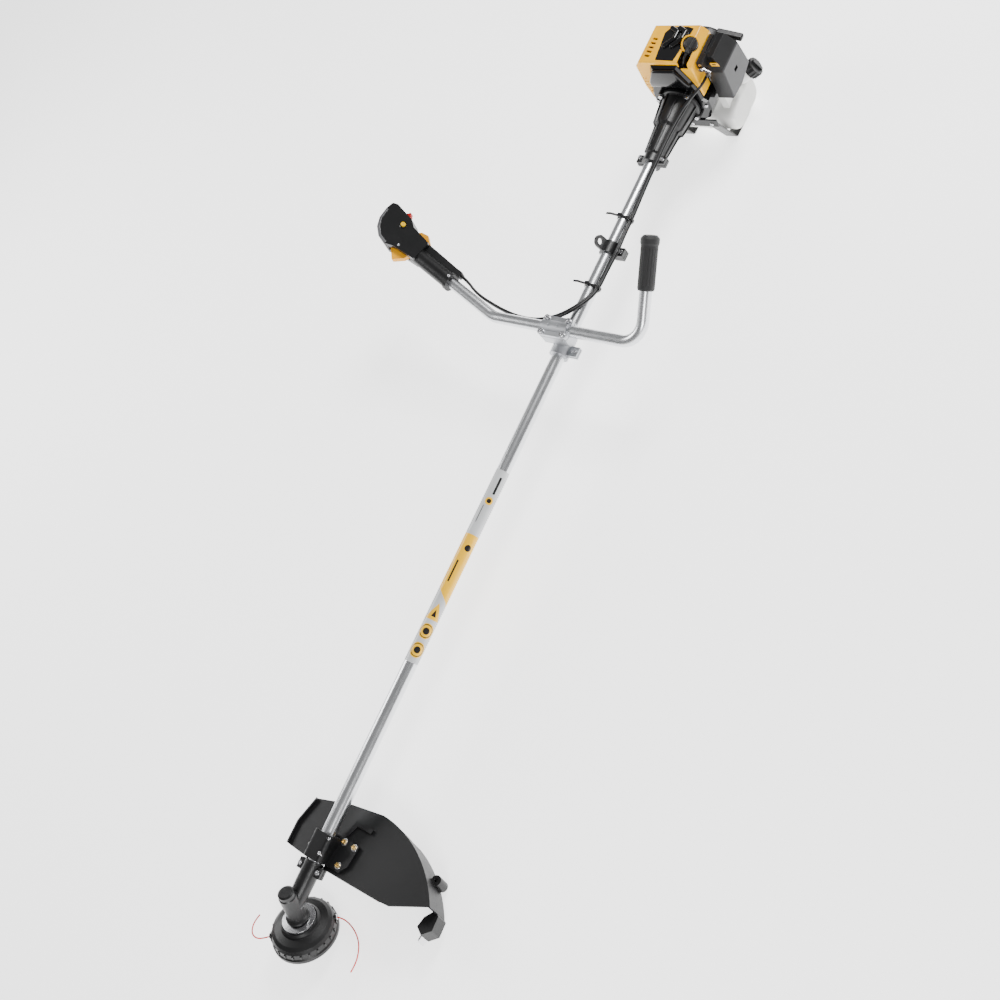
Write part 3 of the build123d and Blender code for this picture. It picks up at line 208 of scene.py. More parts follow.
class Channel:
    """A value inside a material that can be used in ordinary arithmetic."""

    def __init__(self, graph: Graph, socket: bpy.types.NodeSocket) -> None:
        """Wraps one output socket of a graph."""
        self.graph = graph
        self.socket = socket

    def _math(self, operation: str, *values: float | Channel) -> Channel:
        """Adds a Math node and returns its value."""
        node = self.graph.node("ShaderNodeMath", {"operation": operation}, dict(enumerate(values)))
        return Channel(self.graph, node.outputs[0])

    def __add__(self, other: float | Channel) -> Channel:
        """Adds another value."""
        return self._math("ADD", self, other)

    def __radd__(self, other: float | Channel) -> Channel:
        """Adds this value to another."""
        return self._math("ADD", other, self)

    def __sub__(self, other: float | Channel) -> Channel:
        """Takes another value away."""
        return self._math("SUBTRACT", self, other)

    def __rsub__(self, other: float | Channel) -> Channel:
        """Takes this value away from another."""
        return self._math("SUBTRACT", other, self)

    def __mul__(self, other: float | Channel) -> Channel:
        """Multiplies by another value."""
        return self._math("MULTIPLY", self, other)

    def __rmul__(self, other: float | Channel) -> Channel:
        """Multiplies another value."""
        return self._math("MULTIPLY", other, self)

    def __truediv__(self, other: float | Channel) -> Channel:
        """Divides by another value."""
        return self._math("DIVIDE", self, other)

    def __rtruediv__(self, other: float | Channel) -> Channel:
        """Divides another value by this one."""
        return self._math("DIVIDE", other, self)

    def above(self, limit: float | Channel) -> Channel:
        """1 where the value is above a limit, and 0 elsewhere."""
        return self._math("GREATER_THAN", self, limit)

    def below(self, limit: float | Channel) -> Channel:
        """1 where the value is below a limit, and 0 elsewhere."""
        return self._math("LESS_THAN", self, limit)

    def between(self, low: float, high: float) -> Channel:
        """1 between two limits, and 0 elsewhere."""
        return self.above(low) * self.below(high)

    def absolute(self) -> Channel:
        """The value without its sign."""
        return self._math("ABSOLUTE", self)

    def root(self) -> Channel:
        """The square root."""
        return self._math("SQRT", self)

    def angle(self, other: Channel) -> Channel:
        """The angle of the point whose height is this value and width is another."""
        return self._math("ARCTAN2", self, other)

    def either(self, other: Channel) -> Channel:
        """The larger of two masks."""
        return self._math("MAXIMUM", self, other)

    def ramp(self, low: float, high: float) -> Channel:
        """A smooth step from 0 at a low value to 1 at a high one."""
        settings = {"interpolation_type": "SMOOTHSTEP"}
        links = {"Value": self, "From Min": low, "From Max": high}
        node = self.graph.node("ShaderNodeMapRange", settings, links)
        return Channel(self.graph, node.outputs["Result"])


class Graph:
    """The node tree of one material, ending in a Principled shader."""

    def __init__(self, name: str) -> None:
        """Starts an empty material."""
        self.material = bpy.data.materials.new(name)
        self.material.use_nodes = True
        self.tree = self.material.node_tree
        self.tree.nodes.clear()
        self.shader = self.tree.nodes.new("ShaderNodeBsdfPrincipled")
        output = self.tree.nodes.new("ShaderNodeOutputMaterial")
        self.tree.links.new(self.shader.outputs["BSDF"], output.inputs["Surface"])

    def node(self, kind: str, settings: dict[str, object], links: dict[object, object]) -> bpy.types.Node:
        """Adds a node.

        Args:
            kind: the node's type.
            settings: properties, set before its sockets.
            links: socket names or numbers, with a Channel to link or a constant to set.

        Returns:
            The new node.
        """
        node = self.tree.nodes.new(kind)
        for key, value in settings.items():
            setattr(node, key, value)
        for key, value in links.items():
            if isinstance(value, Channel):
                self.tree.links.new(value.socket, node.inputs[key])
            else:
                node.inputs[key].default_value = value
        return node

    def set(self, **values: object) -> None:
        """Sets or links the shader's sockets, named with underscores for spaces."""
        for key, value in values.items():
            socket = self.shader.inputs[key.replace("_", " ")]
            if isinstance(value, Channel):
                self.tree.links.new(value.socket, socket)
            else:
                socket.default_value = value

    def position(self) -> Channel:
        """The point on the object, in metres."""
        node = self.node("ShaderNodeTexCoord", {}, {})
        return Channel(self, node.outputs["Object"])

    def placed(self, frame: Matrix, stretch: Point = (1, 1, 1)) -> Channel:
        """The point seen in a local frame.

        Args:
            frame: the frame's matrix to metres, whose scale is kept out.
            stretch: factors along the frame's own axes.

        Returns:
            The local point in metres, stretched.
        """
        location, turn, _ = frame.inverted().decompose()
        shift = location * 0.001
        settings = {"vector_type": "POINT"}
        links = {"Vector": self.position(), "Rotation": turn.to_euler(), "Location": shift}
        node = self.node("ShaderNodeMapping", settings, links)
        scaled = self.node(
            "ShaderNodeVectorMath",
            {"operation": "MULTIPLY"},
            {0: Channel(self, node.outputs[0]), 1: tuple(stretch)},
        )
        return Channel(self, scaled.outputs[0])

    def parts(self, vector: Channel) -> tuple[Channel, Channel, Channel]:
        """The three components of a vector."""
        node = self.node("ShaderNodeSeparateXYZ", {}, {0: vector})
        x, y, z = (Channel(self, output) for output in node.outputs)
        return x, y, z

    def noise(self, vector: Channel, scale: float, detail: float = 2.0) -> Channel:
        """Soft noise between 0 and 1."""
        links = {"Vector": vector, "Scale": scale, "Detail": detail, "Roughness": 0.55}
        node = self.node("ShaderNodeTexNoise", {}, links)
        return Channel(self, node.outputs[0])

    def cells(self, vector: Channel, scale: float) -> Channel:
        """The distance to the nearest of many scattered points."""
        links = {"Vector": vector, "Scale": scale}
        node = self.node("ShaderNodeTexVoronoi", {}, links)
        return Channel(self, node.outputs["Distance"])

    def mix(self, mask: float | Channel, first: object, second: object) -> Channel:
        """A colour that goes from first to second as the mask rises."""
        links = {0: mask, 6: self._rgba(first), 7: self._rgba(second)}
        node = self.node("ShaderNodeMix", {"data_type": "RGBA"}, links)
        return Channel(self, node.outputs[2])

    @staticmethod
    def _rgba(value: object) -> object:
        """A colour with its alpha, or the channel as it is."""
        return value if isinstance(value, Channel) else (*value, 1.0)

    def soft_edges(self, radius: float) -> Channel:
        """The surface's normal with its sharp edges rounded over, in metres."""
        node = self.node("ShaderNodeBevel", {"samples": 4}, {"Radius": radius})
        return Channel(self, node.outputs[0])

    def edges(self, rounded: Channel) -> Channel:
        """A mask that is 1 along sharp edges."""
        geometry = self.node("ShaderNodeNewGeometry", {}, {})
        normal = Channel(self, geometry.outputs["Normal"])
        node = self.node("ShaderNodeVectorMath", {"operation": "DOT_PRODUCT"}, {0: rounded, 1: normal})
        return (1.0 - Channel(self, node.outputs["Value"])).ramp(0.02, 0.2)

    def bump(self, height: Channel, depth: float, normal: Channel | None = None) -> Channel:
        """A normal that follows a height, whose full range is depth metres."""
        links: dict[object, object] = {"Height": height, "Distance": depth, "Strength": 1.0}
        if normal is not None:
            links["Normal"] = normal
        node = self.node("ShaderNodeBump", {}, links)
        return Channel(self, node.outputs[0])


# Finishes


def shade(colour: Colour, factor: float) -> Colour:
    """A colour made darker or lighter by a factor."""
    red, green, blue = (min(1.0, part * factor) for part in colour)
    return red, green, blue


@dataclass(frozen=True)
class Finish(ABC):
    """One surface finish, made into a material once and then shared.

    Attributes:
        name: the material's name.
    """

    name: str

    def material(self) -> bpy.types.Material:
        """The finish's material, built at its first use."""
        found = bpy.data.materials.get(self.name)
        if found is not None:
            return found
        graph = Graph(self.name)
        self.build(graph)
        return graph.material

    @abstractmethod
    def build(self, graph: Graph) -> None:
        """Fills the material's graph."""


@dataclass(frozen=True)
class MouldedPlastic(Finish):
    """Injection-moulded plastic with a fine grain, flow marks, and paler edges that are partly rubbed wear
    and partly a painted highlight.
    """

    colour: Colour = (0.0055, 0.0055, 0.006)
    roughness: float = 0.4
    grain: float = 1400.0
    depth: float = 0.00006
    coat: float = 0.0
    # How much paler the edges are painted: partly wear, partly a painted highlight.
    edge_light: float = 1.8
    edge_radius: float = 0.0006

    def build(self, graph: Graph) -> None:
        """Grain in the bump, slow changes in colour and gloss, and paler edges that are partly worn and
        partly a painted highlight.
        """
        place = graph.position()
        cloud = graph.noise(place, 14.0, 3.0)
        grain = graph.noise(place, self.grain, 2.0)
        smear = graph.noise(place, 55.0, 4.0)
        rounded = graph.soft_edges(self.edge_radius)
        base = graph.mix(cloud.ramp(0.3, 0.7), shade(self.colour, 0.86), shade(self.colour, 1.14))
        # Mask of paler edges, patchy along the bevel: partly rubbing wear, partly a painted highlight.
        worn_and_highlight = graph.edges(rounded) * smear.ramp(0.35, 0.65)
        graph.set(
            Base_Color=graph.mix(worn_and_highlight * 0.5, base, shade(self.colour, self.edge_light)),
            Roughness=self.roughness + (smear - 0.5) * 0.14 + (grain - 0.5) * 0.06,
            Coat_Weight=self.coat,
            Coat_Roughness=0.08,
            Specular_IOR_Level=0.4,
            Normal=graph.bump(grain, self.depth, rounded),
        )


@dataclass(frozen=True)
class FacedPlastic(MouldedPlastic):
    """Moulded plastic whose outer face is a second colour.

    Attributes:
        frame: the frame whose Z points out of the face.
        face: how far along that Z the second colour starts, in metres.
        face_colour: the second colour.
    """

    frame: Matrix = field(default_factory=lambda: Matrix.Identity(4))
    face: float = 0.0
    face_colour: Colour = (0.06, 0.06, 0.062)

    def build(self, graph: Graph) -> None:
        """Moulded grain under both colours, with a clean border between them."""
        super().build(graph)
        plain = Channel(graph, graph.shader.inputs["Base Color"].links[0].from_socket)
        _, _, out = graph.parts(graph.placed(self.frame))
        mottle = graph.noise(graph.position(), 30.0, 3.0)
        panel = graph.mix(mottle, shade(self.face_colour, 0.85), shade(self.face_colour, 1.15))
        graph.set(Base_Color=graph.mix(out.above(self.face), plain, panel))


@dataclass(frozen=True)
class GlossPlastic(Finish):
    """Polished plastic with a faint ripple and hairline polishing marks."""

    colour: Colour = (0.004, 0.004, 0.0045)
    roughness: float = 0.12
    # How much paler the painted edge highlight is.
    edge_light: float = 1.5

    def build(self, graph: Graph) -> None:
        """A slow ripple in the surface, dulled patches where hands touch, and a painted highlight along the
        edges.
        """
        place = graph.position()
        ripple = graph.noise(place, 38.0, 1.0)
        dulled = graph.noise(place, 22.0, 5.0).ramp(0.45, 0.75)
        specks = graph.noise(place, 2200.0, 2.0)
        rounded = graph.soft_edges(0.0008)
        base = graph.mix(ripple.ramp(0.3, 0.7), shade(self.colour, 0.92), shade(self.colour, 1.08))
        # Base Color is lightened along every sharp edge: a painted highlight.
        graph.set(
            Base_Color=graph.mix(graph.edges(rounded) * 0.4, base, shade(self.colour, self.edge_light)),
            Roughness=self.roughness + dulled * 0.1 + (specks - 0.5) * 0.04,
            Coat_Weight=0.15,
            Coat_Roughness=0.05,
            Specular_IOR_Level=0.4,
            Normal=graph.bump(ripple, 0.00012, rounded),
        )


@dataclass(frozen=True)
class DrawnMetal(Finish):
    """Drawn or turned metal with fine lines along one direction."""

    frame: Matrix = field(default_factory=lambda: Matrix.Identity(4))
    colour: Colour = (0.62, 0.62, 0.64)
    roughness: float = 0.3
    stretch: tuple[float, float, float] = (1.0, 30.0, 30.0)
    coat: float = 0.0

    def build(self, graph: Graph) -> None:
        """Lines from stretched noise in the gloss and the bump."""
        place = graph.placed(self.frame, self.stretch)
        lines = graph.noise(place, 60.0, 3.0)
        cloud = graph.noise(graph.position(), 18.0, 3.0)
        rounded = graph.soft_edges(0.0004)
        base = graph.mix(lines.ramp(0.3, 0.7), shade(self.colour, 0.9), shade(self.colour, 1.08))
        graph.set(
            Base_Color=base,
            Metallic=1.0,
            Roughness=self.roughness + (lines - 0.5) * 0.16 + (cloud - 0.5) * 0.08,
            Coat_Weight=self.coat,
            Coat_Roughness=0.12,
            Normal=graph.bump(lines, 0.00002, rounded),
        )


@dataclass(frozen=True)
class CastMetal(Finish):
    """Sand-textured cast metal, bare or under powder coat."""

    colour: Colour = (0.5, 0.51, 0.52)
    metallic: float = 1.0
    roughness: float = 0.5
    pits: float = 900.0
    depth: float = 0.00015
    # How much paler the edges are painted: partly wear, partly a painted highlight.
    edge_light: float = 1.3

    def build(self, graph: Graph) -> None:
        """Small pits, slow stains, and paler edges that are partly handling wear and partly a painted
        highlight.
        """
        place = graph.position()
        pits = graph.cells(place, self.pits)
        cloud = graph.noise(place, 24.0, 4.0)
        rounded = graph.soft_edges(0.0007)
        base = graph.mix(cloud.ramp(0.3, 0.7), shade(self.colour, 0.82), shade(self.colour, 1.1))
        # Mask of paler edges, patchy along the bevel: partly handling wear, partly a painted highlight.
        worn_and_highlight = graph.edges(rounded) * graph.noise(place, 90.0, 3.0).ramp(0.4, 0.6)
        graph.set(
            Base_Color=graph.mix(worn_and_highlight * 0.7, base, shade(self.colour, self.edge_light)),
            Metallic=self.metallic,
            Roughness=self.roughness + (cloud - 0.5) * 0.16,
            Normal=graph.bump(pits, self.depth, rounded),
        )


@dataclass(frozen=True)
class SoftRubber(Finish):
    """Matt rubber with a dusty bloom."""

    colour: Colour = (0.006, 0.006, 0.0065)

    def build(self, graph: Graph) -> None:
        """A fine skin texture and paler dust in patches."""
        place = graph.position()
        skin = graph.cells(place, 1600.0)
        dust = graph.noise(place, 30.0, 5.0)
        rounded = graph.soft_edges(0.0006)
        graph.set(
            Base_Color=graph.mix(dust.ramp(0.4, 0.75) * 0.5, self.colour, shade(self.colour, 2.2)),
            Roughness=0.62 + (dust - 0.5) * 0.2,
            Sheen_Weight=0.15,
            Sheen_Roughness=0.4,
            Normal=graph.bump(skin, 0.00008, rounded),
        )


@dataclass(frozen=True)
class LabelledTube(Finish):
    """Clear-coated aluminium tube with a printed sleeve of plain shapes.

    Attributes:
        frame: the tube's frame, Z along the tube.
        radius: the tube's radius in metres.
        facing: the turn of the print's middle round the tube, in degrees from the top.
    """

    frame: Matrix = field(default_factory=lambda: Matrix.Identity(4))
    radius: float = 0.013
    facing: float = 38.0

    def build(self, graph: Graph) -> None:
        """Metal outside the sleeve, and bands, discs and a triangle printed on it."""
        place = graph.placed(self.frame)
        left, up, along = graph.parts(place)
        arc = (left.angle(up) - math.radians(self.facing)) * self.radius
        lines = graph.noise(graph.placed(self.frame, (40.0, 40.0, 1.0)), 60.0, 3.0)
        cloud = graph.noise(graph.position(), 16.0, 3.0)
        metal = graph.mix(lines.ramp(0.3, 0.7), (0.66, 0.67, 0.69), (0.8, 0.81, 0.83))
        sleeve = along.between(0.676, 1.056)
        front = arc.absolute().below(0.0145)
        cut = along - arc * 0.9
        band = sleeve * along.above(0.806) * cut.below(0.928)
        yellow = self._shapes(along, arc, sleeve, front)
        marks = self._marks(along, arc, front)
        paper = graph.mix(cloud.ramp(0.3, 0.7), (0.55, 0.56, 0.57), (0.63, 0.64, 0.65))
        colour = graph.mix(sleeve, metal, paper)
        colour = graph.mix(band.either(yellow), colour, (1.0, 0.55, 0.0))
        colour = graph.mix(marks, colour, (0.004, 0.004, 0.004))
        graph.set(
            Base_Color=colour,
            Metallic=1.0 - sleeve,
            Roughness=0.27 + (lines - 0.5) * 0.12 + sleeve * 0.1 + (cloud - 0.5) * 0.06,
            Coat_Weight=0.35,
            Coat_Roughness=0.1,
            Normal=graph.bump(lines, 0.000015),
        )

    @staticmethod
    def _disc(along: Channel, arc: Channel, centre: float, radius: float) -> Channel:
        """A round mask on the tube's face."""
        far = (along - centre) * (along - centre) + arc * arc
        return far.root().below(radius)

    def _shapes(self, along: Channel, arc: Channel, sleeve: Channel, front: Channel) -> Channel:
        """The yellow shapes: a small stud, a triangle and two discs."""
        triangle = along.between(0.942, 0.974) * ((along - 0.942) * 0.46 - arc.absolute()).above(0.0)
        shapes = self._disc(along, arc, 0.738, 0.0075).either(triangle)
        for centre in (0.996, 1.032):
            shapes = shapes.either(self._disc(along, arc, centre, 0.0142))
        return shapes * front * sleeve

    def _marks(self, along: Channel, arc: Channel, front: Channel) -> Channel:
        """The black marks: plain bars, and a solid shape inside each yellow one."""
        bars = along.between(0.69, 0.724) * (arc - 0.002).absolute().below(0.0022)
        thin = along.between(0.748, 0.782) * (arc + 0.006).absolute().below(0.0007)
        marks = bars.either(thin).either(self._disc(along, arc, 0.738, 0.0042))
        marks = marks.either(self._disc(along, arc - 0.003, 0.832, 0.0062))
        marks = marks.either(along.between(0.858, 0.9) * (arc + 0.004).absolute().below(0.0016))
        inner = along.between(0.954, 0.968) * ((along - 0.954) * 0.32 - arc.absolute()).above(0.0)
        marks = marks.either(inner)
        for centre in (0.996, 1.032):
            ring = self._disc(along, arc, centre, 0.0124) - self._disc(along, arc, centre, 0.0108)
            core = self._disc(along, arc, centre, 0.0062)
            marks = marks.either(ring).either(core)
        return marks * front


@dataclass(frozen=True)
class TankPlastic(Finish):
    """Translucent blow-moulded tank plastic, stained a little by fuel at the bottom."""

    low: float = 0.0
    high: float = 0.1

    def build(self, graph: Graph) -> None:
        """A waxy skin with a soft level line and moulding ripples."""
        place = graph.position()
        _, _, height = graph.parts(place)
        ripple = graph.noise(place, 42.0, 3.0)
        skin = graph.noise(place, 900.0, 2.0)
        level = (height + (ripple - 0.5) * 0.004).ramp(self.low, self.high)
        graph.set(
            Base_Color=graph.mix(level, (0.7, 0.7, 0.67), (0.9, 0.9, 0.89)),
            Roughness=0.36 + (ripple - 0.5) * 0.14,
            Subsurface_Weight=0.35,
            Subsurface_Scale=0.006,
            Coat_Weight=0.15,
            Coat_Roughness=0.2,
            Normal=graph.bump(ripple * 0.8 + skin * 0.2, 0.0002, graph.soft_edges(0.001)),
        )


@dataclass(frozen=True)
class FilterFoam(Finish):
    """Open-cell foam, oiled dark."""

    def build(self, graph: Graph) -> None:
        """Deep cells in the bump, and painted shade that darkens the colour where the bump sinks."""
        place = graph.position()
        pores_and_shade = graph.cells(place, 700.0)
        # Base Color darkens where the cell bump is lowest: painted shade in the pores.
        graph.set(
            Base_Color=graph.mix(pores_and_shade.ramp(0.1, 0.6), (0.09, 0.09, 0.1), (0.02, 0.02, 0.024)),
            Roughness=0.9,
            Normal=graph.bump(1.0 - pores_and_shade, 0.0006),
        )


@dataclass(frozen=True)
class CordJacket(Finish):
    """The skin of a cable, lead, rope or cutting line, with ribs or a smooth draw."""

    colour: Colour = (0.005, 0.005, 0.0055)
    roughness: float = 0.38
    rib: float = 900.0

    def build(self, graph: Graph) -> None:
        """Fine lines and a little dust."""
        place = graph.position()
        lines = graph.noise(place, self.rib, 2.0)
        dust = graph.noise(place, 60.0, 4.0)
        graph.set(
            Base_Color=graph.mix(dust.ramp(0.35, 0.7), shade(self.colour, 0.85), shade(self.colour, 1.35)),
            Roughness=self.roughness + (dust - 0.5) * 0.2,
            Normal=graph.bump(lines, 0.00005),
        )


@dataclass(frozen=True)
class StudioPaper(Finish):
    """The pale floor."""

    def build(self, graph: Graph) -> None:
        """Plain paper with a very slight mottle."""
        mottle = graph.noise(graph.position(), 3.0, 2.0)
        graph.set(
            Base_Color=graph.mix(mottle, (0.9, 0.9, 0.9), (0.93, 0.93, 0.93)),
            Roughness=0.75,
            Specular_IOR_Level=0.2,
            Emission_Color=(1.0, 1.0, 1.0, 1.0),
            Emission_Strength=2.0,
        )


# Shapes


class Shape:
    """One mesh in the making, drawn in millimetres of a local frame."""

    def __init__(self) -> None:
        """Starts with nothing drawn."""
        self.mesh = bmesh.new()

    def lathe(self, profile: Sequence[tuple[float, float]], steps: int = 64) -> Shape:
        """Adds a closed (radius, height) profile spun about Z.

        Args:
            profile: the ring's section, as points in order.
            steps: how many steps a full turn has.

        Returns:
            The shape.
        """
        corners = [self.mesh.verts.new((radius, 0.0, height)) for radius, height in profile]
        pairs = zip(corners, corners[1:] + corners[:1])
        loop = [self.mesh.edges.new(pair) for pair in pairs if pair[0].co.x or pair[1].co.x]
        bmesh.ops.spin(
            self.mesh,
            geom=corners + loop,
            cent=(0, 0, 0),
            axis=(0, 0, 1),
            angle=math.tau,
            steps=steps,
            use_merge=True,
            use_normal_flip=False,
            use_duplicate=False,
        )
        return self

    def plate(
        self,
        outline: Sequence[tuple[float, float]],
        low: float,
        high: float,
        corner: float = 0.0,
        round_off: float = 0.0,
        wall: float = 0.0,
    ) -> Shape:
        """Adds an (x, y) outline extruded between two heights, solid or as a frame.

        Args:
            outline: the corners in order.
            low: the lower height.
            high: the upper height.
            corner: the radius of its corners in plan.
            round_off: how far the edges are rounded.
            wall: the width of the frame, or 0 for a solid plate.

        Returns:
            The shape.
        """
        face = self.mesh.faces.new([self.mesh.verts.new((x, y, low)) for x, y in outline])
        if corner:
            rounded = bmesh.ops.bevel(
                self.mesh,
                geom=list(face.verts),
                offset=corner,
                offset_type="OFFSET",
                segments=8,
                profile=0.5,
                affect="VERTICES",
                clamp_overlap=True,
                material=-1,
            )
            face = rounded["verts"][0].link_faces[0]
        faces = [face]
        if wall:
            faces = bmesh.ops.inset_region(
                self.mesh, faces=[face], thickness=wall, use_boundary=True, use_even_offset=True
            )["faces"]
            bmesh.ops.delete(self.mesh, geom=[face], context="FACES")
        raised = bmesh.ops.extrude_face_region(self.mesh, geom=faces, use_keep_orig=True)
        lifted = [item for item in raised["geom"] if isinstance(item, bmesh.types.BMVert)]
        bmesh.ops.translate(self.mesh, verts=lifted, vec=(0, 0, high - low))
        if round_off:
            flat = [vert for ring in faces for vert in ring.verts]
            self._round(flat + lifted, round_off)
        return self

    def rope(self, length: float, radius: float, turns: float, strands: int = 3) -> Shape:
        """Adds a laid rope of twisted strands rising along Z.

        Args:
            length: the rope's length.
            radius: the rope's outer radius.
            turns: how many turns each strand makes.
            strands: how many strands it has.

        Returns:
            The shape.
        """
        steps = 48
        for index in range(strands):
            turn = Matrix.Rotation(math.tau * index / strands, 4, "Z")
            place = turn @ Matrix.Translation((radius * 0.46, 0, 0))
            made = bmesh.ops.create_circle(
                self.mesh, cap_ends=False, segments=12, radius=radius * 0.54, matrix=place
            )
            ring = {edge for vert in made["verts"] for edge in vert.link_edges}
            bmesh.ops.spin(
                self.mesh,
                geom=made["verts"] + list(ring),
                cent=(0, 0, 0),
                axis=(0, 0, 1),
                dvec=(0, 0, length / steps),
                angle=math.tau * turns,
                steps=steps,
                use_merge=False,
                use_normal_flip=False,
                use_duplicate=False,
            )
        bmesh.ops.holes_fill(self.mesh, edges=self.mesh.edges, sides=0)
        return self

    def join(self, other: Shape) -> Shape:
        """Takes over everything drawn in another shape."""
        made = bpy.data.meshes.new("part")
        other.mesh.to_mesh(made)
        other.mesh.free()
        self.mesh.from_mesh(made)
        bpy.data.meshes.remove(made)
        return self

    def turned(self, matrix: Matrix) -> Shape:
        """Moves or turns everything drawn so far."""
        bmesh.ops.transform(self.mesh, matrix=matrix, verts=self.mesh.verts)
        return self

    def _round(self, corners: list[bmesh.types.BMVert], amount: float) -> None:
        """Rounds the sharp edges among some corners."""
        chosen = set(corners)
        edges = {
            edge for corner in corners for edge in corner.link_edges if edge.other_vert(corner) in chosen
        }
        bmesh.ops.bevel(
            self.mesh,
            geom=list(edges),
            offset=amount,
            offset_type="OFFSET",
            segments=3,
            profile=0.5,
            affect="EDGES",
            clamp_overlap=True,
            material=-1,
        )

    def data(self, name: str, frame: Matrix) -> bpy.types.Mesh:
        """Places the shape and turns it into a mesh.

        Args:
            name: the mesh's name.
            frame: the matrix from the shape's millimetres to metres.

        Returns:
            The finished mesh.
        """
        bmesh.ops.remove_doubles(self.mesh, verts=self.mesh.verts, dist=0.001)
        self.turned(frame)
        bmesh.ops.recalc_face_normals(self.mesh, faces=self.mesh.faces)
        made = bpy.data.meshes.new(name)
        self.mesh.to_mesh(made)
        self.mesh.free()
        made.shade_smooth()
        made.set_sharp_from_angle(angle=math.radians(32))
        return made


@dataclass
class Bench:
    """Where pieces are named, dressed, put on their bodies and reported.

    Attributes:
        shaft: the machine's placing.
        nodes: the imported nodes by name.
    """

    shaft: ShaftFrame
    nodes: dict[str, bpy.types.Object]
    count: int = 0

    def add(
        self,
        name: str,
        shape: Shape,
        frame: LocalFrame,
        finish: Finish,
        body: str,
        slot: str,
        replaces: Sequence[str] = (),
    ) -> bpy.types.Object:
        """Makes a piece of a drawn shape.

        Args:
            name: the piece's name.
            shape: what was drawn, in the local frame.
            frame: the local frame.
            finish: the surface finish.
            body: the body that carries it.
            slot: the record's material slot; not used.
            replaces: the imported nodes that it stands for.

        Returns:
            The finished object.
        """
        data = shape.data(name, self.shaft.local(frame))
        piece = bpy.data.objects.new(name, data)
        return self.take(piece, finish, body, replaces)

    def take(
        self,
        piece: bpy.types.Object,
        finish: Finish,
        body: str,
        replaces: Sequence[str] = (),
    ) -> bpy.types.Object:
        """Dresses an object, puts it on its body and reports it."""
        bpy.context.scene.collection.objects.link(piece)
        piece.data.materials.append(finish.material())
        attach(piece, body)
        if replaces:
            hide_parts(*replaces)
        self.count += 1
        LOG.info("piece %s on %s", piece.name, body)
        return piece

    def dress(self, finish: Finish, *names: str) -> None:
        """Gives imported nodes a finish."""
        for name in names:
            node = self.nodes[name]
            node.data.materials.clear()
            node.data.materials.append(finish.material())
            LOG.info("dressed %s with %s", name, finish.name)


@dataclass
class Finishes:
    """Every finish of the machine, made for its placing."""

    shaft: ShaftFrame

    def __post_init__(self) -> None:
        """Makes the finishes."""
        along = self.shaft.matrix()
        self.tube = LabelledTube("labelled_tube", self.shaft.local(SHAFT))
        self.bar = DrawnMetal("handlebar_aluminium", along, (0.72, 0.73, 0.75), 0.28, (20.0, 1.0, 20.0), 0.3)
        self.steel = DrawnMetal("plated_steel", along, (0.6, 0.6, 0.62), 0.26, (1.0, 24.0, 24.0))
        self.bright = DrawnMetal("bright_screw_steel", along, (0.78, 0.78, 0.8), 0.2, (8.0, 8.0, 8.0))
        self.brass = DrawnMetal("brass_screws", along, (0.74, 0.52, 0.2), 0.28, (8.0, 8.0, 8.0))
        self.cast = CastMetal("bare_casting", (0.46, 0.47, 0.48))
        self.clamp = CastMetal("tumbled_clamp_casting", (0.5, 0.51, 0.53), roughness=0.42, depth=0.0001)
        # The edge_light factors of this coat and of the guard and grip below paint paler edges, partly wear
        # and partly a painted highlight.
        self.coat = CastMetal("black_powder_coat", (0.005, 0.005, 0.0055), 0.0, 0.34, 1500.0, 0.00008, 5.0)
        self.black = MouldedPlastic("black_moulding")
        self.guard = MouldedPlastic(
            "guard_moulding", (0.0045, 0.0045, 0.005), 0.46, 900.0, 0.0001, edge_light=4.0
        )
        self.grip = MouldedPlastic(
            "grip_moulding", (0.006, 0.006, 0.0065), 0.36, 1100.0, 0.00009, edge_light=3.0
        )
        self.grey = FacedPlastic(
            "filter_cover_moulding",
            (0.005, 0.005, 0.0055),
            0.34,
            frame=self.shaft.local(OUTWARD),
            face=0.0985,
            face_colour=(0.035, 0.035, 0.037),
        )
        self.end_band = MouldedPlastic("grey_end_band", (0.12, 0.12, 0.125), 0.24, 1200.0, 0.00004)
        self.gloss = GlossPlastic("gloss_shroud")
        self.yellow = GlossPlastic("yellow_cover_moulding", (1.0, 0.47, 0.0), 0.3, 1.1)
        self.orange = GlossPlastic("yellow_control_moulding", (1.0, 0.42, 0.0), 0.34, 1.1)
        self.button = GlossPlastic("pale_yellow_button", (1.0, 0.6, 0.0), 0.3, 1.1)
        self.red = GlossPlastic("red_switch_moulding", (0.5, 0.006, 0.003), 0.3, 1.4)
        self.rubber = SoftRubber("grip_rubber")
        self.tank = TankPlastic("tank_plastic", 0.03, 0.075)
        self.foam = FilterFoam("filter_foam")
        self.jacket = CordJacket("cable_jacket")
        self.rope = CordJacket("pull_rope", (0.03, 0.03, 0.032), 0.6, 400.0)
        self.line = CordJacket("cutting_line", (0.75, 0.02, 0.012), 0.3, 500.0)


# Studio


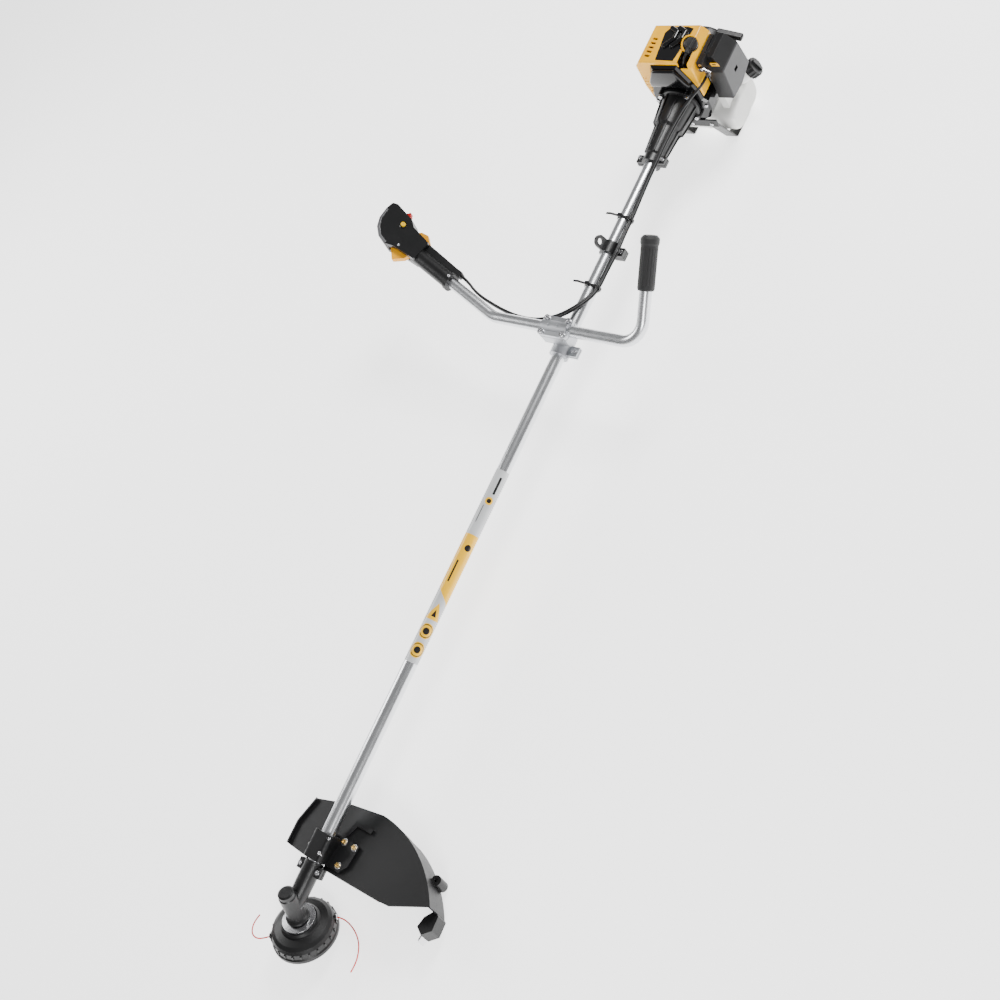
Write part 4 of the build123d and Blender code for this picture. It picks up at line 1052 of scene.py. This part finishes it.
@dataclass
class Studio:
    """The camera, the lights and the pale floor.

    Attributes:
        shaft: the machine's placing.
        eye: where the camera stands, in millimetres along the tube.
        right: the view's right-hand direction.
        down: the view's downward direction.
        depth: the way the camera looks.
        lens: the focal length for a 36 mm frame.
    """

    shaft: ShaftFrame
    eye: tuple[float, float, float] = (1127.29, 1228.44, 1599.06)
    right: tuple[float, float, float] = (-0.42468, 0.77053, -0.47532)
    down: tuple[float, float, float] = (0.88395, 0.23944, -0.40163)
    depth: tuple[float, float, float] = (-0.19565, -0.59072, -0.78280)
    lens: float = 40.88

    def camera(self) -> None:
        """Places the camera and makes it the scene's own."""
        data = bpy.data.cameras.new("camera")
        data.lens = self.lens
        data.sensor_width = 36.0
        data.clip_end = 50.0
        camera = bpy.data.objects.new("camera", data)
        bpy.context.scene.collection.objects.link(camera)
        turn = Matrix.Rotation(math.radians(self.shaft.tilt), 3, "Y")
        columns = [Vector(self.right), -Vector(self.down), -Vector(self.depth)]
        basis = Matrix([turn @ column for column in columns]).transposed().to_4x4()
        camera.matrix_world = Matrix.Translation(self.shaft.point(self.eye)) @ basis
        bpy.context.scene.camera = camera

    def lamp(self, name: str, place: Point, aim: Point, size: float, power: float) -> None:
        """Hangs one soft square lamp.

        Args:
            name: the lamp's name.
            place: where it hangs, in metres.
            aim: the point it lights, in metres.
            size: the length of its side, in metres.
            power: its power in watts.
        """
        data = bpy.data.lights.new(name, "AREA")
        data.size = size
        data.energy = power
        lamp = bpy.data.objects.new(name, data)
        bpy.context.scene.collection.objects.link(lamp)
        lamp.location = place
        lamp.rotation_euler = (Vector(aim) - Vector(place)).to_track_quat("-Z", "Y").to_euler()

    def light(self) -> None:
        """Sets the pale surroundings and the lamps."""
        world = bpy.data.worlds.new("pale_room")
        world.use_nodes = True
        background = world.node_tree.nodes["Background"]
        background.inputs["Color"].default_value = (1.0, 1.0, 1.0, 1.0)
        background.inputs["Strength"].default_value = 0.3
        bpy.context.scene.world = world
        self.lamp("key_lamp", (-1.9, 0.6, 2.2), (-0.2, 0.1, 0.1), 0.9, 75.0)
        self.lamp("side_lamp", (1.7, 1.6, 1.5), (0.5, 0.0, 0.1), 0.8, 34.0)
        self.lamp("far_lamp", (0.2, -2.3, 1.6), (0.0, 0.0, 0.1), 1.2, 40.0)

    def floor(self) -> None:
        """Lays the paper floor."""
        mesh = bmesh.new()
        bmesh.ops.create_grid(mesh, x_segments=1, y_segments=1, size=20.0)
        data = bpy.data.meshes.new("floor")
        mesh.to_mesh(data)
        mesh.free()
        floor = bpy.data.objects.new("floor", data)
        bpy.context.scene.collection.objects.link(floor)
        data.materials.append(StudioPaper("studio_paper").material())

    def build(self) -> None:
        """Sets up the whole studio."""
        self.camera()
        self.light()
        self.floor()


# Sub-assemblies


def moved(x: float, y: float, z: float, about_x: float = 0.0, about_y: float = 0.0) -> Matrix:
    """A move, after a turn about X and then about Y in degrees."""
    turn = Matrix.Rotation(math.radians(about_x), 4, "X") @ Matrix.Rotation(math.radians(about_y), 4, "Y")
    return Matrix.Translation((x, y, z)) @ turn


def copies(profile: Sequence[tuple[float, float]], steps: int, places: Sequence[Matrix]) -> Shape:
    """Spins one profile at each of several places.

    Args:
        profile: the closed (radius, height) profile.
        steps: how many steps go round.
        places: the matrix of each copy.

    Returns:
        The shape that holds them all.
    """
    group = Shape()
    for place in places:
        group.join(Shape().lathe(profile, steps=steps).turned(place))
    return group


@dataclass
class SubAssembly(ABC):
    """A group of pieces that is built together.

    Attributes:
        bench: where its pieces are put.
        finishes: the machine's finishes.
    """

    bench: Bench
    finishes: Finishes

    @abstractmethod
    def build(self) -> None:
        """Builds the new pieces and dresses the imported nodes."""

    def screw_heads(
        self,
        name: str,
        frame: LocalFrame,
        places: Sequence[Point],
        radius: float,
        finish: Finish,
        slot: str,
        body: str = "machine",
    ) -> None:
        """Adds pan heads with a hexagon socket, standing along the frame's Z.

        Args:
            name: the piece's name.
            frame: the frame whose Z the heads face.
            places: the middle of each head's seat.
            radius: the heads' radius.
            finish: the heads' finish.
            slot: the record's material slot; passed to Bench.add, which does not use it.
            body: the body that carries them.
        """
        crown = [(radius * 0.8, 2.0), (radius * 0.52, 2.2), (radius * 0.46, 0.9), (0, 0.7)]
        profile = [(0, -1), (radius, -1), (radius, 1.0)] + crown
        heads = copies(profile, 24, [Matrix.Translation(place) for place in places])
        self.bench.add(name, heads, frame, finish, body, slot)


@dataclass
class LineHead(SubAssembly):
    """The gear case, the spool housing with its outlets, and the wound line."""

    outlet_reach: float = 58.4
    wound_inner: float = 22.4
    wound_outer: float = 36.0
    wound_low: float = -67.2
    wraps: int = 4
    line_width: float = 2.0

    def outlets(self) -> None:
        """Steel eyelets round the two line outlets."""
        profile = [(1.75, -0.4), (1.75, 0.7), (2.3, 1.3), (3.4, 1.4), (4.3, 1.0), (4.6, 0.3), (4.6, -0.4)]
        outward = moved(self.outlet_reach, 0, LINE_LEVEL, about_y=90.0)
        turns = [Matrix.Rotation(math.radians(angle), 4, "Z") for angle in LINE_ANGLES]
        rings = copies(profile, 32, [turn @ outward for turn in turns])
        self.bench.add("line_outlets", rings, HEAD, self.finishes.bright, "head", "steel")

    def winding(self) -> None:
        """The cutting line wound in the spool."""
        profile = [(self.wound_inner, self.wound_low)]
        for index in range(self.wraps):
            low = self.wound_low + index * self.line_width
            for rise, swell in ((0.0, 0.0), (0.3, 0.75), (1.0, 1.0), (1.7, 0.75)):
                profile.append((self.wound_outer + swell, low + rise))
        top = self.wound_low + self.wraps * self.line_width
        profile += [(self.wound_outer, top), (self.wound_inner, top)]
        shape = Shape().lathe(profile, steps=96)
        self.bench.add("wound_line", shape, HEAD, self.finishes.line, "spool", "red_line")

    def build(self) -> None:
        """Builds the outlets and the winding, and dresses the head."""
        finishes = self.finishes
        self.bench.dress(finishes.coat, "gear_case")
        self.bench.dress(finishes.black, "spool_housing", "line_spool", "bump_knob")
        self.bench.dress(finishes.steel, "arbor", "pinion")
        self.outlets()
        self.winding()


@dataclass
class GuardAssembly(SubAssembly):
    """The cutting guard, its bracket and its screws."""

    screw_places: tuple[tuple[float, float], ...] = ((-9, 26), (-9, 50), (29, 42))
    foot_top: float = 6.0

    def washers(self) -> None:
        """Flanged collars round the guard's brass screws."""
        profile = [(4.25, -0.2), (4.25, 0.7), (5.8, 0.6), (6.3, 0.2), (6.3, -0.2)]
        places = [Matrix.Translation((x, y, self.foot_top)) for x, y in self.screw_places]
        collars = copies(profile, 32, places)
        self.bench.add("guard_washers", collars, GUARD, self.finishes.bright, "machine", "steel")

    def build(self) -> None:
        """Builds the washers and dresses the guard."""
        finishes = self.finishes
        self.bench.dress(finishes.guard, "guard", "guard_skirt")
        self.bench.dress(finishes.black, "guard_bracket")
        self.bench.dress(finishes.brass, "guard_screws")
        self.bench.dress(finishes.bright, "line_cutter")
        self.washers()


@dataclass
class TubeAndClamps(SubAssembly):
    """The main tube with what runs inside it and what is clamped round it."""

    def build(self) -> None:
        """Dresses the tube, its shaft and its clamps."""
        finishes = self.finishes
        self.bench.dress(finishes.tube, "tube")
        self.bench.dress(finishes.steel, "bearings", "drive_shaft")
        self.bench.dress(finishes.coat, "harness_clamp")
        self.bench.dress(finishes.black, "cable_ties")
        self.bench.dress(finishes.bright, "steel_screws")


@dataclass
class Handlebar(SubAssembly):
    """The bent bar, its clamp with four bolts, and the plain grip."""

    clamp_x: float = 395.9
    clamp_top: float = 49.7
    bolt_x: float = 14.5
    bolt_y: float = 24.0

    def bolt_collars(self) -> None:
        """Spring washers round the heads of the clamp's bolts."""
        profile = [(5.05, -0.2), (5.05, 1.0), (5.9, 1.0), (6.2, 0.6), (6.2, -0.2)]
        places = [
            Matrix.Translation((self.clamp_x + x, y, self.clamp_top))
            for x in (-self.bolt_x, self.bolt_x)
            for y in (-self.bolt_y, self.bolt_y)
        ]
        collars = copies(profile, 32, places)
        self.bench.add("bar_bolt_washers", collars, TOP, self.finishes.steel, "machine", "steel")

    def build(self) -> None:
        """Builds the washers and dresses the bar."""
        finishes = self.finishes
        self.bench.dress(finishes.bar, "handlebar")
        self.bench.dress(finishes.clamp, "bar_clamp_base", "bar_clamp_cap")
        self.bench.dress(finishes.rubber, "left_grip")
        self.bolt_collars()


@dataclass
class ThrottleControls(SubAssembly):
    """The control grip with its trigger, lockout, stop switch and lock button."""

    face: float = 18.0
    button_place: tuple[float, float] = (288.0, -26.0)

    def end_band(self) -> None:
        """The pale band let into the outer end of the control head."""
        outer = [(290, 28.5), (313.5, 23.7), (332.6, 10.3), (343.7, -7.9), (347.6, -32)]
        inner = [(341, -32), (337, -9), (327, 5.5), (309.5, 18), (289, 22)]
        shape = Shape().plate(outer + inner, 1.0 - self.face, self.face + 0.4, round_off=1.2)
        self.bench.add("grip_end_band", shape, GRIP, self.finishes.end_band, "machine", "grey_plastic")

    def button(self) -> None:
        """The oval lock button with its dished top, and the dark rim round it."""
        x, y = self.button_place
        cap = Shape().lathe(
            [(0, 14.6), (5.8, 14.6), (5.8, 20.2), (5.1, 21.0), (3.4, 21.0), (2.6, 20.1), (0, 19.8)],
            steps=48,
        )
        cap.turned(Matrix.Translation((x, y, 0)) @ Matrix.Diagonal((1.0, 0.84, 1.0, 1.0)))
        self.bench.add(
            "lock_button_cap",
            cap,
            GRIP,
            self.finishes.button,
            "lock_button",
            "button_plastic",
            ["lock_button"],
        )
        rim = Shape().lathe([(6.4, 17.5), (6.4, 19.0), (7.4, 19.2), (8.2, 18.6), (8.2, 17.5)], steps=48)
        rim.turned(Matrix.Translation((x, y, 0)))
        self.bench.add("lock_button_rim", rim, GRIP, self.finishes.gloss, "machine", "gloss_black")

    def build(self) -> None:
        """Builds the band, the button and the screw, and dresses the controls."""
        finishes = self.finishes
        self.bench.dress(finishes.grip, "throttle_grip")
        self.bench.dress(finishes.orange, "trigger", "lockout_lever")
        self.bench.dress(finishes.red, "stop_switch")
        self.end_band()
        self.button()
        self.screw_heads(
            "grip_screw", GRIP, [(126.5, -3, 18.6), (262, 12, 17.8)], 3.0, finishes.bright, "steel"
        )


@dataclass
class PowerUnit(SubAssembly):
    """The engine, its clutch and its covers."""

    shroud_front: float = -140.6

    def nose(self) -> None:
        """The faceted block that stands out of the top of the shroud."""
        outline = [(-26, 94), (23, 94), (36, 64), (44, 50), (-44, 50), (-43, 64)]
        shape = Shape().plate(outline, -150.0, self.shroud_front, round_off=4.5)
        self.bench.add("shroud_nose", shape, SHAFT, self.finishes.gloss, "machine", "gloss_black")

    def outer_screws(self) -> None:
        """Bright screws of the shroud and the stand."""
        places = [(54, -6, -147.6), (-51, 4, -147.6), (49, -57, -144.8), (-49, -57, -144.8), (6, -57, -144.8)]
        self.screw_heads("shroud_screws", SHAFT, places, 3.6, self.finishes.bright, "steel")

    def build(self) -> None:
        """Builds the nose and the screws, and dresses the engine."""
        finishes = self.finishes
        self.bench.dress(finishes.coat, "clutch_housing", "muffler", "stand")
        self.bench.dress(finishes.steel, "clutch_drum", "crankshaft", "spark_plug", "throttle_arm")
        self.bench.dress(finishes.cast, "clutch_shoes", "flywheel", "crankcase")
        self.bench.dress(finishes.cast, "cylinder", "piston_and_rod", "carburettor")
        self.bench.dress(finishes.gloss, "fan_cover", "cover_insert")
        self.bench.dress(finishes.yellow, "engine_cover")
        self.bench.dress(finishes.rubber, "plug_boot")
        self.bench.dress(finishes.black, "ignition_coil")
        self.nose()
        self.outer_screws()


@dataclass
class AirCleaner(SubAssembly):
    """The choke box, the filter and its cover."""

    label_place: tuple[float, float, float] = (86.0, 66.5, -181.4)
    front_slope: tuple[float, float] = (8.0, 32.0)

    def choke_screw(self) -> None:
        """The brass screw let into the front of the choke box."""
        shape = Shape().lathe([(0, -3), (3.2, -3), (3.2, -0.2), (2.9, 0.05), (1.6, 0.05), (1.5, -1), (0, -1)])
        shape.turned(Matrix.Translation((66.4, 84.0, -165.95)))
        self.bench.add("choke_screw", shape, SHAFT, self.finishes.brass, "machine", "brass")

    def label(self) -> None:
        """The yellow choke label with its two plain marks, on the cover's sloping front."""
        frame = moved(*self.label_place, about_x=math.degrees(math.atan2(*self.front_slope)))
        card = Shape().plate([(-8, -10), (8, -10), (8, 10), (-8, 10)], -0.5, 0.5, corner=2.0)
        card.turned(frame)
        self.bench.add("choke_label", card, SHAFT, self.finishes.yellow, "filter_cover", "yellow_plastic")
        marks = Shape()
        for middle in (-5.0, 5.0):
            low, high = middle - 2.4, middle + 2.4
            marks.plate([(-4.5, low), (2.5, low), (4.5, middle), (2.5, high), (-4.5, high)], 0.4, 0.7)
        marks.turned(frame)
        self.bench.add("choke_marks", marks, SHAFT, self.finishes.black, "filter_cover", "black_plastic")

    def build(self) -> None:
        """Builds the small pieces and dresses the air cleaner."""
        finishes = self.finishes
        self.bench.dress(finishes.black, "filter_base")
        self.bench.dress(finishes.grey, "filter_cover")
        self.bench.dress(finishes.foam, "filter_element")
        self.bench.dress(finishes.bright, "choke_lever")
        self.choke_screw()
        self.label()


@dataclass
class FuelTank(SubAssembly):
    """The tank with its moulding seam, and the cap."""

    seam_low: float = -8.5
    seam_high: float = -5.5
    seam_width: float = 1.6
    corner: float = 26.0

    def seam(self) -> None:
        """The raised seam where the two halves of the tank meet."""
        outline = [(-283, -129), (-177, -129), (-177, -63), (-283, -63)]
        shape = Shape().plate(
            outline, self.seam_low, self.seam_high, corner=self.corner, wall=self.seam_width
        )
        self.bench.add("tank_seam", shape, BESIDE, self.finishes.tank, "machine", "tank_plastic")

    def build(self) -> None:
        """Builds the seam and dresses the tank."""
        finishes = self.finishes
        self.bench.dress(finishes.tank, "fuel_tank")
        self.bench.dress(finishes.rubber, "cap_seal")
        self.bench.dress(finishes.black, "fuel_cap")
        self.seam()


@dataclass
class Starter(SubAssembly):
    """The recoil starter and its rope."""

    grip_centre: tuple[float, float, float] = (-285.0, 59.0, 32.0)
    rope_low: float = -40.0
    rope_high: float = -14.5
    rope_radius: float = 1.5

    def rope(self) -> None:
        """The laid rope between the guide and the handle."""
        frame = LocalFrame(self.grip_centre, (0, 1, 0), tuple(UP_TURN))
        shape = Shape().rope(self.rope_high - self.rope_low, self.rope_radius, 3.0)
        shape.turned(Matrix.Translation((0, 0, self.rope_low)))
        data = shape.data("pull_rope", self.bench.shaft.local(frame))
        piece = bpy.data.objects.new("pull_rope", data)
        bpy.context.scene.collection.objects.link(piece)
        data.materials.append(self.finishes.rope.material())
        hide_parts("starter_rope")
        place = self.bench.shaft.local(frame)
        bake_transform(piece)
        LOG.info("piece pull_rope between machine and starter_grip")

    def build(self) -> None:
        """Builds the rope and dresses the starter."""
        finishes = self.finishes
        self.bench.dress(finishes.black, "starter_housing", "starter_pulley", "starter_grip")
        self.rope()


@dataclass(frozen=True)
class Cord:
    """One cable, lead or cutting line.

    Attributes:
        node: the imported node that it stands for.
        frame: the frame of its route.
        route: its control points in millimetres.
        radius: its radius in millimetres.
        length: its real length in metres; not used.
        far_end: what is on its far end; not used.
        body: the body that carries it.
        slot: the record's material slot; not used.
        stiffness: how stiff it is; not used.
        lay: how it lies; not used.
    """

    node: str
    frame: LocalFrame
    route: Sequence[Point]
    radius: float
    length: float
    far_end: str = "object"
    body: str = "machine"
    slot: str = "rubber"
    stiffness: str = "medium"
    lay: str = "loose"

    def build(self, bench: Bench, finish: Finish) -> None:
        """Draws the cord as one smooth curve through its control points."""
        curve = bpy.data.curves.new(f"{self.node}_cord", "CURVE")
        curve.dimensions = "3D"
        curve.bevel_depth = self.radius / 1000.0
        curve.bevel_resolution = 5
        curve.resolution_u = 14
        curve.use_fill_caps = True
        spline = curve.splines.new("NURBS")
        spline.points.add(len(self.route) - 1)
        place = bench.shaft.local(self.frame)
        points = [place @ Vector(point) for point in self.route]
        for knot, point in zip(spline.points, points):
            knot.co = (*point, 1.0)
        spline.order_u = 3
        spline.use_endpoint_u = True
        piece = bpy.data.objects.new(curve.name, curve)
        bench.take(piece, finish, self.body, [self.node])
        self.radius / 500.0


CABLE_OFFSET = 3.1
CABLE_ROUTE = [
    (362, -203, 56),
    (373, -159, 40),
    (380, -118, 31),
    (381, -80, 26.5),
    (374, -48, 24),
    (359, -20, 22.5),
    (337, 3, 21.5),
    (309, 15, 13),
    (281, 16.6, CABLE_OFFSET),
    (240, 17.6, 4.6),
    (197, 21.5, 6.6),
    (160, 17.4, 4.4),
    (128, 16.6, CABLE_OFFSET),
    (84, 16.8, 7),
    (40, 18, 12.5),
    (4, 22.5, 18.6),
    (-40, 26, 25),
    (-82, 33, 31),
    (-112, 43, 38),
]


def shifted(rise: float) -> list[Vector]:
    """The shared cable route moved up or down, leaving the grip from its gland."""
    start = [GRIP.matrix() @ Vector((x, -22, rise)) for x in (116, 98)]
    return start + [Vector((x, y, z + rise)) for x, y, z in CABLE_ROUTE]


def outlet(angle: float) -> tuple[float, float, float]:
    """Where a cutting line leaves the housing, in the head's frame."""
    return LINE_EXIT_REACH * cosine(angle), LINE_EXIT_REACH * sine(angle), LINE_LEVEL


LEFT_LINE = [(-48, 49), (-47, 68), (-41, 88), (-30, 107), (-14, 121), (3, 130), (17, 133)]
RIGHT_LINE = [(54, -47), (60, -58), (58, -71), (48, -81), (36, -86), (25, -87)]


@dataclass
class Cords(SubAssembly):
    """The throttle cable, the switch and ignition leads and the cutting lines."""

    def build(self) -> None:
        """Draws every cord."""
        throttle = shifted(CABLE_OFFSET) + [(-140, 60, 48.5), (-156, 64, 48), (-170, 64, 48)]
        switch = shifted(-CABLE_OFFSET) + [(-136, 43, 34), (-148, 43, 34)]
        plug = PLUG.matrix()
        lead = [plug @ Vector((19, 0, 39)), plug @ Vector((26, 0, 39))]
        lead += [(-163, 37, 97), (-163, 29, 82), (-163, 26, 76), (-163, 26, 70)]
        left, right = (
            [outlet(angle)] + [(x, y, LINE_LEVEL) for x, y in line]
            for angle, line in zip(LINE_ANGLES, (LEFT_LINE, RIGHT_LINE))
        )
        jackets = [
            Cord("throttle_cable", TOP, throttle, 2.75, 0.8006),
            Cord("switch_lead", TOP, switch, 2.5, 0.7741),
            Cord("ignition_lead", TOP, lead, 2.5, 0.046),
        ]
        for cord in jackets:
            cord.build(self.bench, self.finishes.jacket)
        for node, route, length in (("line_left", left, 0.1273), ("line_right", right, 0.0757)):
            line = Cord(node, HEAD, route, 1.2, length, "bare", "head", "red_line", "stiff")
            line.build(self.bench, self.finishes.line)


# Building


def main() -> None:
    """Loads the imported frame, then builds the studio, the cords and each sub-assembly."""
    logging.basicConfig(level=logging.INFO, format="%(message)s")
    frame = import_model()
    shaft = ShaftFrame.from_drive_shaft(GROUND_TILT, *DRIVE_SHAFT_ENDS)
    bench = Bench(shaft, frame["nodes"])
    finishes = Finishes(shaft)
    Studio(shaft).build()
    order = [
        Cords,
        LineHead,
        GuardAssembly,
        TubeAndClamps,
        Handlebar,
        ThrottleControls,
        PowerUnit,
        AirCleaner,
        FuelTank,
        Starter,
    ]
    for kind in order:
        LOG.info("building %s", kind.__name__)
        kind(bench, finishes).build()
    LOG.info("%d new pieces", bench.count)


if __name__ == "__main__":
    main()
